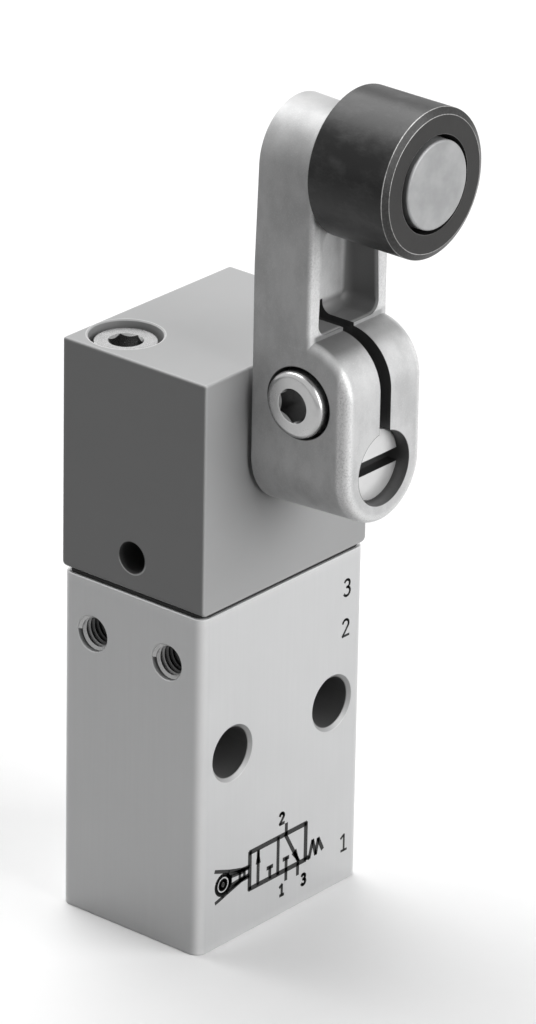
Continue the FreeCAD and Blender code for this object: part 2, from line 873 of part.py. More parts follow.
def cam_point(angle, base_radius, flat_distance):
    lift = flat_distance + base_radius * angle
    across = lift * math.sin(angle) + base_radius * math.cos(angle)
    up = base_radius * math.sin(angle) - lift * math.cos(angle)
    return FreeCAD.Vector(across, up, 0)


def make_shaft_cam():
    base_radius = s.cam_base_radius.value
    flat_distance = s.cam_flat_distance.value
    last = math.radians(s.cam_flank_angle.value)
    flank = [cam_point(last * i / CAM_STEPS, base_radius, flat_distance)
             for i in range(CAM_STEPS + 1)]
    corner = flank[-1]
    hub_radius = s.cam_hub_radius.value
    spread = math.acos(hub_radius / corner.Length)
    tangent_angle = math.atan2(corner.y, corner.x) + spread
    touch = FreeCAD.Vector(math.cos(tangent_angle), math.sin(tangent_angle), 0) * hub_radius
    mirror = [FreeCAD.Vector(-point.x, point.y, 0) for point in flank]
    touch_left = FreeCAD.Vector(-touch.x, touch.y, 0)
    right_flank = Part.BSplineCurve()
    right_flank.interpolate(flank)
    left_flank = Part.BSplineCurve()
    left_flank.interpolate(list(reversed(mirror)))
    crown = Part.Arc(touch, FreeCAD.Vector(0, hub_radius, 0), touch_left)
    outline = Part.Wire([
        right_flank.toShape(),
        Part.LineSegment(corner, touch).toShape(),
        crown.toShape(),
        Part.LineSegment(touch_left, mirror[-1]).toShape(),
        left_flank.toShape(),
        Part.LineSegment(mirror[0], flank[0]).toShape(),
    ])
    thickness = s.cam_thickness.value
    plate = Part.Face(outline).extrude(FreeCAD.Vector(0, 0, thickness))
    plate.translate(FreeCAD.Vector(0, 0, -thickness / 2))
    bore_radius = s.shaft_tail_radius.value + s.fit_clearance.value
    bore = Part.makeCylinder(bore_radius, thickness * 2, FreeCAD.Vector(0, 0, -thickness))
    pin_hole = Part.makeCylinder(s.cam_pin_radius.value, 4 * hub_radius,
                                 FreeCAD.Vector(-2 * hub_radius, 0, 0), FreeCAD.Vector(1, 0, 0))
    cam = doc.addObject("Part::Feature", "shaft_cam")
    cam.Label = "shaft_cam"
    cam.Shape = plate.cut(bore).cut(pin_hole)
    return lay_forward(cam)


def make_cam_pin():
    half_length = s.cam_hub_radius - s.cam_pin_sink
    pin = cylinder("cam_pin", s.cam_pin_radius - s.fit_clearance / 2, 2 * half_length)
    place(pin, x=-half_length, z=shaft_height, rotation=SIDEWAYS)
    return pin


# Tappet, guide and springs

def make_tappet():
    bevel = s.head_edge_radius
    return turned_body("tappet", [
        (0, tappet_bottom),
        (s.tappet_radius - bevel, tappet_bottom),
        (s.tappet_radius, tappet_bottom + bevel),
        (s.tappet_radius, tappet_disc_bottom),
        (s.tappet_disc_radius, tappet_disc_bottom),
        (s.tappet_disc_radius, tappet_disc_top),
        (s.tappet_pad_radius, tappet_disc_top),
        (s.tappet_pad_radius, tappet_top - bevel),
        (s.tappet_pad_radius - bevel, tappet_top),
        (0, tappet_top),
    ])


def grooved_outline(inner, outer, low, high, grooves):
    """Half outline of a sleeve with grooves (height, width, depth) from low to high."""
    points = [(inner, low), (outer, low)]
    for height, width, depth in grooves:
        points += [
            (outer, height - width / 2),
            (outer - depth, height - width / 2),
            (outer - depth, height + width / 2),
            (outer, height + width / 2),
        ]
    return points + [(outer, high), (inner, high)]


def make_stem_guide():
    socket_radius = s.tappet_radius + s.stem_clearance
    ring_low = guide_ring_height - s.ring_groove_width / 2
    ring_high = guide_ring_height + s.ring_groove_width / 2
    ring_floor = stack_radius - s.ring_groove_depth
    hub_top = guide_flange_top + s.guide_hub_height
    return turned_body("stem_guide", [
        (stem_hole_radius, spigot_bottom),
        (stack_radius, spigot_bottom),
        (stack_radius, ring_low),
        (ring_floor, ring_low),
        (ring_floor, ring_high),
        (stack_radius, ring_high),
        (stack_radius, s.body_height),
        (guide_flange_radius, s.body_height),
        (guide_flange_radius, guide_flange_top),
        (s.guide_hub_radius, guide_flange_top),
        (s.guide_hub_radius, hub_top),
        (socket_radius, hub_top),
        (socket_radius, guide_socket_bottom),
        (stem_hole_radius, guide_socket_bottom),
    ])


def ring_in_groove(name, outer, depth, height):
    """A sealing ring, squeezed flat between the groove's floor and the bore around it."""
    reach = (depth - s.ring_clearance) / 2
    middle = outer - reach - s.ring_clearance / 2
    return turned_body(name, octagon(middle, height, reach))


def make_cartridge_rings():
    rings = [ring_in_groove(f"{name}_cartridge_ring", stack_radius, s.ring_groove_depth, height)
             for name, height in cartridge_ring_heights.items()]
    return group("cartridge_o_rings", rings)


# Seat sleeve and exhaust cage, stacked in the bore

def cross_holes(body, name, height):
    """Two holes right across, square to each other, for the air."""
    for plane in ("front", "side"):
        sketch = new_sketch(body, f"{name}_{plane}_plan", plane)
        draw_circle(sketch, 0, height, s.cross_hole_radius)
        cut_through(body, sketch, f"{name}_{plane}")


def make_seat_cartridge():
    ring_size = (s.ring_groove_width, s.ring_groove_depth)
    outline = grooved_outline(s.seat_opening_radius, stack_radius, seat_height, sleeve_top, [
        (cartridge_ring_heights["lower"], *ring_size),
        (outlet_height, s.air_groove_width, s.air_groove_depth),
        (cartridge_ring_heights["upper"], *ring_size),
    ])
    outline = outline[1:-1] + [
        (stem_hole_radius, sleeve_top),
        (stem_hole_radius, sleeve_top - s.stem_partition_length),
        (s.outlet_chamber_radius, sleeve_top - s.stem_partition_length),
        (s.outlet_chamber_radius, seat_height + s.seat_throat_length),
        (s.seat_opening_radius, seat_height + s.seat_throat_length),
        (s.seat_opening_radius, seat_lip_bottom),
        (s.seat_opening_radius + s.seat_lip_width, seat_lip_bottom),
        (s.seat_opening_radius + s.seat_lip_width, seat_height),
    ]
    body = turned_body("seat_cartridge", outline)
    cross_holes(body, "outlet_cross_hole", outlet_height)
    return body


def make_exhaust_cage():
    outline = grooved_outline(s.cage_inner_radius, stack_radius, sleeve_top, spigot_bottom, [
        (exhaust_height, s.air_groove_width, s.air_groove_depth),
    ])
    body = turned_body("exhaust_cage", outline)
    cross_holes(body, "exhaust_cross_hole", exhaust_height)
    return body


# Valve stem, hollow from below so that used air leaves through it

def make_valve_stem():
    groove = s.stem_radius - s.stem_ring_groove_depth
    half_groove = s.stem_ring_groove_width / 2
    lower_ring = stem_ring_heights["lower"]
    upper_ring = stem_ring_heights["upper"]
    flange_top = stem_flange_height + s.stem_flange_thickness
    nose_top = stem_bottom + s.stem_nose_length
    outline = [
        (s.stem_bore_radius, stem_bottom),
        (s.stem_nose_radius, stem_bottom),
        (s.stem_nose_radius, nose_top),
        (s.stem_radius, nose_top),
        (s.stem_radius, lower_ring - half_groove),
        (groove, lower_ring - half_groove),
        (groove, lower_ring + half_groove),
        (s.stem_radius, lower_ring + half_groove),
        (s.stem_radius, stem_flange_height),
        (s.stem_flange_radius, stem_flange_height),
        (s.stem_flange_radius, flange_top),
        (s.stem_radius, flange_top),
        (s.stem_radius, upper_ring - half_groove),
        (groove, upper_ring - half_groove),
        (groove, upper_ring + half_groove),
        (s.stem_radius, upper_ring + half_groove),
        (s.stem_radius, stem_top),
        (0, stem_top),
        (0, stem_bottom + s.stem_bore_length),
        (s.stem_bore_radius, stem_bottom + s.stem_bore_length),
    ]
    body = turned_body("valve_stem", outline)
    sketch = new_sketch(body, "stem_vent_plan", "side")
    vent_height = stem_bottom + s.stem_bore_length - s.stem_vent_radius * 2
    draw_circle(sketch, 0, vent_height, s.stem_vent_radius)
    cut_through(body, sketch, "stem_vent")
    return body


def make_stem_rings():
    rings = [ring_in_groove(f"{name}_stem_ring", s.stem_radius, s.stem_ring_groove_depth, height)
             for name, height in stem_ring_heights.items()]
    return group("stem_o_rings", rings)


# Poppet: a hexagonal carrier that air passes on six sides, with a rubber disc

def make_poppet():
    body = new_body("poppet")
    sketch = new_sketch(body, "poppet_plan", "top", poppet_bottom)
    hexagon(sketch, s.supply_bore_radius - s.poppet_clearance)
    pad(body, sketch, s.poppet_length, "poppet_carrier")
    sketch = new_sketch(body, "poppet_spigot_plan", "top", poppet_bottom)
    draw_circle(sketch, 0, 0, s.poppet_spigot_radius)
    pad(body, sketch, s.poppet_spigot_length, "poppet_spigot", reverse=True)
    sketch = new_sketch(body, "poppet_cup_plan", "top", poppet_rim)
    draw_circle(sketch, 0, 0, s.poppet_seal_radius + s.fit_clearance)
    cut(body, sketch, "poppet_cup", poppet_rim - poppet_cup_floor)
    return body


def make_poppet_seal():
    disc = cylinder("poppet_seal", s.poppet_seal_radius, s.poppet_seal_thickness)
    place(disc, z=poppet_cup_floor)
    return disc


def make_springs():
    gap = s.spring_end_gap
    return [
        coil_spring("tappet_spring", s.tappet_spring_radius, s.tappet_spring_wire,
                    s.tappet_spring_turns, guide_flange_top + gap, tappet_disc_bottom - gap),
        coil_spring("stem_spring", s.stem_spring_radius, s.stem_spring_wire,
                    s.stem_spring_turns, sleeve_top + gap, stem_flange_height - gap),
        coil_spring("poppet_spring", s.poppet_spring_radius, s.poppet_spring_wire,
                    s.poppet_spring_turns, s.body_floor + gap, poppet_bottom - gap),
    ]


# Lever. It is drawn lying on its back: across, along the arm, and forward as height.

def draw_arm(sketch, low_radius, straight, end_radius):
    """Straight sides up from the boss, then sides that close in on a rounded tip."""
    length = s.arm_length - s.crown_drop
    reach = math.hypot(low_radius.value, length.value - straight.value)
    toward = math.atan2(length.value - straight.value, -low_radius.value)
    touch_angle = toward - math.pi + math.acos(end_radius.value / reach)
    tip = FreeCAD.Vector(end_radius.value * math.cos(touch_angle),
                         length.value + end_radius.value * math.sin(touch_angle), 0)
    tip_left = FreeCAD.Vector(-tip.x, tip.y, 0)
    right_low = vector(low_radius, 0.0)
    right_high = vector(low_radius, straight)
    left_high = vector(-low_radius, straight)
    left_low = vector(-low_radius, 0.0)
    crown = Part.Arc(tip, vector(0.0, length + end_radius), tip_left)
    first = sketch.GeometryCount
    for piece in (
        Part.LineSegment(left_low, right_low),
        Part.LineSegment(right_low, right_high),
        Part.LineSegment(right_high, tip),
        crown,
        Part.LineSegment(tip_left, left_high),
        Part.LineSegment(left_high, left_low),
    ):
        sketch.addGeometry(piece)
    low, right, right_slope, top, left_slope, left = range(first, first + 6)
    for kind, start, following in (
        ("Coincident", low, right),
        ("Coincident", right, right_slope),
        ("Tangent", right_slope, top),
        ("Tangent", top, left_slope),
        ("Coincident", left_slope, left),
        ("Coincident", left, low),
    ):
        sketch.addConstraint(Sketcher.Constraint(kind, start, 2, following, 1))
    hold_point(sketch, low, 1, -low_radius, 0)
    hold_point(sketch, low, 2, low_radius, 0)
    hold_point(sketch, top, 3, 0, length)
    hold(sketch, "Radius", top, end_radius)
    for line in (right, left):
        sketch.addConstraint(Sketcher.Constraint("Vertical", line))
    hold(sketch, "DistanceY", right, 2, straight)
    hold(sketch, "DistanceY", left, 1, straight)


def draw_boss(sketch):
    """A round bottom with straight sides up to a flat top."""
    radius = s.boss_radius
    top = s.boss_top
    corners = [vector(radius, 0.0), vector(radius, top), vector(-radius, top), vector(-radius, 0.0)]
    first = sketch.GeometryCount
    sketch.addGeometry(Part.Arc(corners[3], vector(0.0, -radius), corners[0]))
    for start, end in zip(corners[:-1], corners[1:]):
        sketch.addGeometry(Part.LineSegment(start, end))
    arc, right, level, left = range(first, first + 4)
    for kind, start, following in (
        ("Tangent", arc, right),
        ("Coincident", right, level),
        ("Coincident", level, left),
        ("Tangent", left, arc),
    ):
        sketch.addConstraint(Sketcher.Constraint(kind, start, 2, following, 1))
    hold_point(sketch, arc, 3, 0, 0)
    hold(sketch, "Radius", arc, s.boss_radius)
    for line, end in ((right, 2), (left, 1)):
        sketch.addConstraint(Sketcher.Constraint("Vertical", line))
        hold(sketch, "DistanceY", line, end, s.boss_top)


def add_boss(body):
    """The boss round the shaft, with rounded shoulders and a rounded front rim."""
    sketch = new_sketch(body, "boss_outline", "top", lever_back)
    draw_boss(sketch)
    boss = pad(body, sketch, boss_front - lever_back, "boss", draft=-s.boss_draft)
    front = boss_front.value

    def is_top_front(edge):
        box = edge.BoundBox
        return near(box.ZMin, front) and near(box.YLength, 0) and box.YMin > s.boss_radius.value

    shoulder = soften(body, boss, edges_where(boss, is_top_front), s.boss_shoulder_radius,
                      "shoulder")

    def is_rim(edge):
        box = edge.BoundBox
        on_side = box.XLength < s.boss_rim_radius.value
        off_back = box.ZMin > lever_front.value - s.boss_shoulder_radius.value
        return off_back and near(box.ZMax, front) and (on_side or box.YMin < 0)

    soften(body, shoulder, edges_where(shoulder, is_rim), s.boss_rim_radius, "boss_rim")


def add_arm(body):
    """The arm, a loft from its back outline to the smaller front one, all but flush
    with the boss."""
    back = new_sketch(body, "arm_back_outline", "top", lever_back)
    draw_arm(back, s.boss_radius, s.arm_straight, s.arm_end_radius)
    front = new_sketch(body, "arm_front_outline", "top", lever_front)
    draw_arm(front, arm_front_half, s.arm_front_straight, s.arm_end_radius - s.arm_end_draft)
    arm = body.newObject("PartDesign::AdditiveLoft", "arm")
    arm.Profile = back
    arm.Sections = [front]
    arm.Ruled = True


def cut_channel(body):
    """The channel in the arm's front, rounded in its corners and along its floor."""
    top = s.arm_length - s.channel_top_drop
    sketch = new_sketch(body, "channel_outline", "top", lever_front)
    draw_polygon(sketch, [
        (-s.channel_half_width, s.boss_top),
        (s.channel_half_width, s.boss_top),
        (s.channel_top_half_width, top),
        (-s.channel_top_half_width, top),
    ])
    channel = cut(body, sketch, "channel", lever_front - channel_floor)
    floor = channel_floor.value
    front = lever_front.value
    reach = s.channel_half_width.value + s.fit_clearance.value

    def is_corner(edge):
        box = edge.BoundBox
        return near(box.ZMin, floor) and near(box.ZMax, front) and abs(box.XMin) < reach

    channel = soften(body, channel, edges_where(channel, is_corner), s.channel_corner_radius,
                     "channel_corners")

    def is_floor_edge(edge):
        box = edge.BoundBox
        return near(box.ZMin, floor) and near(box.ZMax, floor) and abs(box.XMin) < reach

    channel = soften(body, channel, edges_where(channel, is_floor_edge), s.channel_floor_radius,
                     "channel_floor")

    def is_outline_edge(edge):
        box = edge.BoundBox
        level = near(box.ZMin, front) and near(box.ZMax, front)
        outside = max(abs(box.XMin), abs(box.XMax)) > reach
        return level and outside and box.YMax > s.boss_top.value and box.YLength > 1

    soften(body, channel, edges_where(channel, is_outline_edge), s.arm_edge_radius, "arm_edges")


def cut_shaft_bore(body):
    """The bore for the shaft, and the slit above it that lets it clamp."""
    behind = lever_back - s.overshoot
    sketch = new_sketch(body, "shaft_bore_plan", "top", behind)
    draw_circle(sketch, 0, 0, s.shaft_radius + s.bore_clearance)
    cut(body, sketch, "shaft_bore", boss_front, reverse=True)
    sketch = new_sketch(body, "slit_plan", "top", behind)
    draw_box(sketch, -s.slit_width / 2, s.slit_width / 2, 0, s.boss_top + s.slit_rise)
    cut(body, sketch, "slit", boss_front, reverse=True)


def cut_clamp_holes(body):
    """For the clamp screw: pocket and clearance on the left, thread on the right."""
    side = s.boss_radius + s.overshoot
    for name, start, radius, depth, leftward in (
        ("clamp_thread", side, s.screw_radius, side, True),
        ("clamp_pocket", -side, clamp_pocket_radius, side - clamp_pocket_floor, False),
        ("clamp_clearance", -side, s.screw_radius + s.screw_clearance, side, False),
    ):
        sketch = new_sketch(body, f"{name}_plan", "side", start)
        draw_circle(sketch, s.clamp_height, clamp_forward, radius)
        cut(body, sketch, name, depth, reverse=not leftward)


def cut_pin_hole(body):
    """The hole for the roller pin, countersunk at the back for its riveted end."""
    radius = s.pin_tail_radius + s.fit_clearance
    sketch = new_sketch(body, "pin_hole_plan", "top", lever_back - s.overshoot)
    draw_circle(sketch, 0, s.arm_length, radius)
    hole = cut(body, sketch, "pin_hole", boss_front, reverse=True)

    def is_mouth(edge):
        return is_round(edge, radius) and near(edge.Curve.Center.z, lever_back.value)

    soften(body, hole, edges_where(hole, is_mouth), s.pin_rivet_spread, "pin_countersink", "Chamfer")


def make_roller_lever():
    body = new_body("roller_lever")
    add_boss(body)
    add_arm(body)
    cut_channel(body)
    cut_shaft_bore(body)
    cut_clamp_holes(body)
    cut_pin_hole(body)
    return lay_forward(body)


def make_clamp_screw():
    length = s.boss_radius - s.clamp_screw_inset + clamp_pocket_floor
    screw = make_cap_screw("clamp_screw", s.clamp_head_radius, s.clamp_head_height,
                           s.screw_radius - s.fit_clearance, length, s.clamp_rim_radius)
    place(screw, x=-clamp_pocket_floor, y=-clamp_forward, z=shaft_height + s.clamp_height,
          rotation=FreeCAD.Rotation(FreeCAD.Vector(0, 1, 0), -90))
    return screw


# Roller with its pin and washer, on the line of the arm's tip

def lay_at_tip(thing):
    place(thing, z=shaft_height + s.arm_length, rotation=FORWARD)
    return thing


def make_roller():
    recess_floor = roller_end - s.roller_recess_depth
    body = turned_body("roller", [
        (s.roller_bore_radius, roller_start),
        (s.roller_radius - s.roller_back_bevel, roller_start),
        (s.roller_radius, roller_start + s.roller_back_bevel),
        (s.roller_radius, roller_end - s.roller_front_bevel),
        (s.roller_radius - s.roller_front_lip, roller_end),
        (s.roller_recess_radius, roller_end),
        (s.roller_recess_radius, recess_floor),
        (s.roller_bore_radius, recess_floor),
    ])
    return lay_at_tip(body)


def make_roller_pin():
    head_back = roller_end - s.roller_recess_depth + s.pin_head_gap
    head_front = roller_end + s.pin_head_stand
    journal = s.roller_bore_radius - s.running_clearance
    shoulder = lever_front + s.washer_thickness
    body = turned_body("roller_pin", [
        (0, lever_back),
        (pin_rivet_radius, lever_back),
        (s.pin_tail_radius, lever_back + s.pin_rivet_depth),
        (s.pin_tail_radius, shoulder),
        (journal, shoulder),
        (journal, head_back),
        (pin_head_radius, head_back),
        (pin_head_radius, head_front),
        (0, head_front),
    ])

    turned = body.Tip

    def is_head_rim(edge):
        return is_round(edge, pin_head_radius) and near(edge.Curve.Center.z, head_front.value)

    soften(body, turned, edges_where(turned, is_head_rim), s.pin_edge_radius, "pin_head_rim")
    return lay_at_tip(body)


def make_roller_washer():
    body = turned_body("roller_washer", tube_outline(
        s.pin_tail_radius + s.fit_clearance, s.washer_radius,
        lever_front, lever_front + s.washer_thickness))
    return lay_at_tip(body)


def main():
    pieces = [
        make_valve_body(),
        make_head_gasket(),
        make_head_housing(),
        make_head_screws(),
        *make_bushes(),
        make_shaft_seal(),
        make_lever_shaft(),
        make_shaft_circlip(),
        make_shaft_cam(),
        make_cam_pin(),
        make_tappet(),
        make_stem_guide(),
        ring_in_groove("guide_o_ring", stack_radius, s.ring_groove_depth, guide_ring_height),
        make_seat_cartridge(),
        make_cartridge_rings(),
        make_exhaust_cage(),
        make_valve_stem(),
        make_stem_rings(),
        make_poppet(),
        make_poppet_seal(),
        *make_springs(),
        make_roller_lever(),
        make_clamp_screw(),
        make_roller(),
        make_roller_pin(),
        make_roller_washer(),
    ]
    doc.recompute()
    failed = [item.Name for item in doc.Objects
              if "Invalid" in item.State or "Error" in item.State]
    if failed:
        raise RuntimeError(f"failed features: {failed}")
    for piece in pieces:
        if piece.Shape.isNull() or not piece.Shape.isValid():
            raise RuntimeError(f"bad shape: {piece.Label}")
    for piece in pieces:
        piece.Shape.exportStep(os.path.join("parts", f"{piece.Label}.step"))
        print(f"{piece.Label}: {len(piece.Shape.Solids)} solid, {piece.Shape.Volume:.1f} mm3")


main()
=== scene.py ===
# %% [markdown]
# # A roller lever air valve
#
# The real object is a small 3/2-way air valve. A machine part runs against the roller, the lever swings, and a cam
# inside the head presses the valve open. Its block is pale aluminium, its head a darker grey, its lever cast metal
# and its roller burnished black steel.
#
# A picture of it could be painted onto plain boxes, or every part could be modelled in Blender from nothing. Here
# the solids come from the CAD model as a fixed frame, because their sizes and joints are already right. Blender adds
# what a solid can't have: finishes, screw threads, print, light and a camera.

# %% Load the solids
import math

import bmesh
import bpy
from mathutils import Matrix, Vector


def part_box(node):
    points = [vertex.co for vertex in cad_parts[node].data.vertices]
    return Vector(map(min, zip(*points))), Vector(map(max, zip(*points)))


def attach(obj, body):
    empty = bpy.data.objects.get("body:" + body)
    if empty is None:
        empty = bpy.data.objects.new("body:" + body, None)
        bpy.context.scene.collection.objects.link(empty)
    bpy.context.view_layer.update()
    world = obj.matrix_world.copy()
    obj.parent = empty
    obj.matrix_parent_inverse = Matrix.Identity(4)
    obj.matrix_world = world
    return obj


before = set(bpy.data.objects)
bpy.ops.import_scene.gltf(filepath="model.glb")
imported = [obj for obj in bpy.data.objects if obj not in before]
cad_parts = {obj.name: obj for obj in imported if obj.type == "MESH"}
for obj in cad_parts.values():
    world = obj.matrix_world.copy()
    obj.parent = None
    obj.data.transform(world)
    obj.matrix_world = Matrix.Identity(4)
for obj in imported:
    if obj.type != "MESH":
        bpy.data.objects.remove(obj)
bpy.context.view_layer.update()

# %% [markdown]
# ## Units
#
# Blender works in metres here and the valve is as long as a finger, so its drawing is in millimetres. Each length
# could carry its own zeros. One name for a millimetre keeps the numbers the same as on the drawing.

# %% Millimetres
MM = 0.001


def in_mm(corner):
    """A point in millimetres, for printing."""
    return [round(value / MM, 2) for value in corner]


def middle_of(name):
    """The middle of a solid's box in millimetres."""
    return [(low + high) / 2 / MM for low, high in zip(*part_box(name))]


block_low, block_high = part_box("valve_body")
head_low, head_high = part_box("head_housing")
print("block", in_mm(block_low), in_mm(block_high))
print("head", in_mm(head_low), in_mm(head_high))

# %% [markdown]
# ## Faces, axes and holes
#
# A finish needs to know where a hole, a rim or an axis is: a bore is dark inside, a rim is rubbed light. Each finish
# could hold its own numbers, but then one hole is written down twice. What has a solid of its own, such as the
# shaft, tells its place by its box. The holes have none, so their places stand here once, as on the drawing: a
# middle as x, y and z, or as y and z for a hole that runs sideways. What darkens a hole in one side stops before the
# valve's middle, so that it never reaches the other side.

# %% Places on the valve
LEFT, FRONT, RIGHT = block_low.x / MM, block_low.y / MM, block_high.x / MM
HEAD_TOP = head_high.z / MM
SHAFT_Z = middle_of("lever_shaft")[2]
CLAMP_SCREW = (0.0, *middle_of("clamp_screw")[1:])

MOUNT_HOLE, MOUNT_RADIUS, MOUNT_BEVEL = (10.0, 0.0, 27.4), 3.5, 0.5
SIDE_THREADS = ((6.7, 40.7), (-6.0, 40.7))
PORTS = {"supply": (0.0, 5.8), "outlet": (-4.5, 37.05), "exhaust": (4.5, 42.85)}
M5_RADIUS = 2.5
HEAD_SCREW, HEAD_POCKET_RADIUS = (10.25, 6.65, 0.0), 4.85
VENT, VENT_RADIUS = (0.0, 0.0, 53.6), 2.15
MASK_END = 8.0
print("the shaft turns", round(SHAFT_Z, 2), "mm above the floor, the clamp screw lies at", round(CLAMP_SCREW[2], 2))

# %% [markdown]
# ## The camera
#
# A product photographer stands far back with a long lens, so that upright edges stay upright and near parts aren't
# swollen. The camera could be moved by hand until the picture looks right. Its place, turn and lens here were worked
# out from the corners and holes of the valve in the photograph, which is exact for every one of them at once.
# The three rows are the camera's own right, down and forward directions.

# %% Place the camera
camera_data = bpy.data.cameras.new("photo_camera")
camera_data.lens = 228.2476
camera_data.sensor_width = 36.0
camera_data.clip_start = 0.05
camera_data.clip_end = 30.0
camera = bpy.data.objects.new("photo_camera", camera_data)
bpy.context.scene.collection.objects.link(camera)

right = Vector((0.64629717, -0.76290311, 0.01669751))
down = Vector((-0.30320340, -0.27681738, -0.91183323))
forward = Vector((0.70026257, 0.58425250, -0.41022111))
turned = Matrix((right, -down, -forward)).transposed().to_4x4()
camera.matrix_world = Matrix.Translation(Vector((-584.070, -496.179, 399.427)) * MM) @ turned
bpy.context.scene.camera = camera
print("camera looks down by", round(math.degrees(math.asin(-forward.z)), 1), "degrees")

# %% [markdown]
# ## Shader sums
#
# A finish is arithmetic on the place of each point: how far it is from an edge, how large a speck is, how much of
# one colour is over another. The nodes for it could be joined one at a time, which hides the sum. A small class
# stands for one node output, so that `1 - mask` writes its own Math node and the sum can be read.

# %% A wire that can stand in a sum
class Wire:
    """One output of a node, which can stand in a sum."""

    def __init__(self, nodes, socket):
        self.nodes = nodes
        self.socket = socket

    def sum(self, operation, first, second=0.0):
        return self.nodes.node("ShaderNodeMath", {"operation": operation}, {0: first, 1: second})

    def __add__(self, other):
        return self.sum("ADD", self, other)

    def __radd__(self, other):
        return self.sum("ADD", other, self)

    def __sub__(self, other):
        return self.sum("SUBTRACT", self, other)

    def __rsub__(self, other):
        return self.sum("SUBTRACT", other, self)

    def __mul__(self, other):
        return self.sum("MULTIPLY", self, other)

    def __rmul__(self, other):
        return self.sum("MULTIPLY", other, self)

    def __pow__(self, other):
        return self.sum("POWER", self, other)

    def size(self):
        """The value without its sign."""
        return self.sum("ABSOLUTE", self)

    def below_zero(self):
        """The value where it is negative, and 0 elsewhere."""
        return self.sum("MINIMUM", self)

    def rise(self, start, end):
        """0 up to start, 1 from end on, and a soft step between them."""
        settings = {"interpolation_type": "SMOOTHSTEP", "clamp": True}
        return self.nodes.node("ShaderNodeMapRange", settings, {"Value": self, "From Min": start, "From Max": end})

    def fall(self, start, end):
        """1 up to start, 0 from end on, and a soft step between them."""
        return 1.0 - self.rise(start, end)

    def near(self, centre, reach):
        """1 where the value is centre, falling to 0 a reach away from it."""
        return (self - centre).size().fall(0.0, reach)


print("a Wire adds, subtracts, multiplies and steps")

# %% [markdown]
# ## Making nodes
#
# Each material of the valve, and the room around it, has nodes of its own. They could be made by a line for each
# setting and each link. One method makes any node instead, with its settings first, because a node's sockets change
# with them, and then joins a wire or writes a value to each socket that is named.

# %% A set of nodes
class Nodes:
    """The nodes of one material or of the room."""

    def __init__(self, tree):
        self.tree = tree

    def node(self, kind, settings=None, feeds=None, output=0):
        """A node of this kind, with its settings, then the values or wires of its sockets."""
        node = self.tree.nodes.new(kind)
        for name, value in (settings or {}).items():
            setattr(node, name, value)
        for name, value in (feeds or {}).items():
            self.feed(node.inputs[name], value)
        return Wire(self, node.outputs[output])

    def feed(self, socket, value):
        """Joins a wire to a socket, or writes a plain value into it."""
        if isinstance(value, Wire):
            self.tree.links.new(value.socket, socket)
        else:
            socket.default_value = value

    def looked_at(self):
        """1 where the camera, a shiny face or glass looks, and 0 for the soft light between things."""
        camera_ray = self.node("ShaderNodeLightPath", output="Is Camera Ray")
        rays = camera_ray.socket.node.outputs
        return camera_ray + Wire(self, rays["Is Glossy Ray"]) + Wire(self, rays["Is Transmission Ray"])


print("one method makes any node")

# %% [markdown]
# ## Finishes
#
# Metal parts are told apart by how they were made: sawn and tumbled, cast, turned, ground or burnished. Each of
# those leaves its own grain. A finish could be a plain colour and a shine, but then every part looks like plastic.
# A finish here is one material that starts from the point's place on the part in millimetres, so that a grain of 0.1
# is a tenth of a millimetre on every part.

# %% A finish made of nodes
# The colour sockets of a Mix node, by number, because its sockets for plain values have the same names.
MIX_SHARE, MIX_FIRST, MIX_SECOND, MIX_RESULT = 0, 6, 7, 2


class Finish(Nodes):
    """One material and the nodes that feed its shader."""

    made = {}

    def __init__(self, name, **constants):
        self.material = bpy.data.materials.new(name)
        self.material.use_nodes = True
        super().__init__(self.material.node_tree)
        self.shader = self.tree.nodes["Principled BSDF"]
        self.wear(**constants)
        Finish.made[name] = self.material

    def place(self, stretch=(1.0, 1.0, 1.0), centre=(0.0, 0.0, 0.0)):
        """The point's place on the part in millimetres from a centre, with each axis drawn out by its stretch."""
        feeds = {
            "Vector": self.node("ShaderNodeTexCoord", output="Object"),
            "Location": [value * MM for value in centre],
            "Scale": [value * MM for value in stretch],
        }
        return self.node("ShaderNodeMapping", {"vector_type": "TEXTURE"}, feeds)

    def across(self, place):
        """The three lengths of a place, each as a wire."""
        parts = self.node("ShaderNodeSeparateXYZ", feeds={"Vector": place})
        return [Wire(self, output) for output in parts.socket.node.outputs]

    def grain(self, place, size, detail=3.0, roughness=0.55):
        """Random specks, about size millimetres wide, from 0 to 1."""
        feeds = {"Vector": place, "Scale": 1.0 / size, "Detail": detail, "Roughness": roughness}
        return self.node("ShaderNodeTexNoise", feeds=feeds)

    def drilled(self, lengths, axis, centre, radius):
        """1 in a hole along an axis (0, 1 or 2), and 0 from a tenth of a millimetre outside its radius."""
        off_centre = [length - middle for length, middle in zip(lengths, centre)]
        first, second = [length for number, length in enumerate(off_centre) if number != axis]
        return ((first * first + second * second) ** 0.5).fall(radius + 0.02, radius + 0.10)

    def blend(self, first, second, share):
        """One colour going over into another."""
        settings = {"data_type": "RGBA", "clamp_factor": True}
        feeds = {MIX_SHARE: share, MIX_FIRST: first, MIX_SECOND: second}
        return self.node("ShaderNodeMix", settings, feeds, output=MIX_RESULT)

    def bump(self, height, depth, under=None):
        """A surface that stands up to depth millimetres high where height is 1."""
        feeds = {"Height": height, "Distance": depth * MM, "Strength": 1.0}
        if under is not None:
            feeds["Normal"] = under
        return self.node("ShaderNodeBump", feeds=feeds)

    def wear(self, **feeds):
        """Joins wires or values to the shader's own sockets, such as Base_Color=mottled."""
        for name, value in feeds.items():
            self.feed(self.shader.inputs[name.replace("_", " ")], value)


def grey(level, warmth=0.0):
    """A grey that is this light, a little warm or cold."""
    return (level * (1.0 + warmth), level, level * (1.0 - warmth), 1.0)


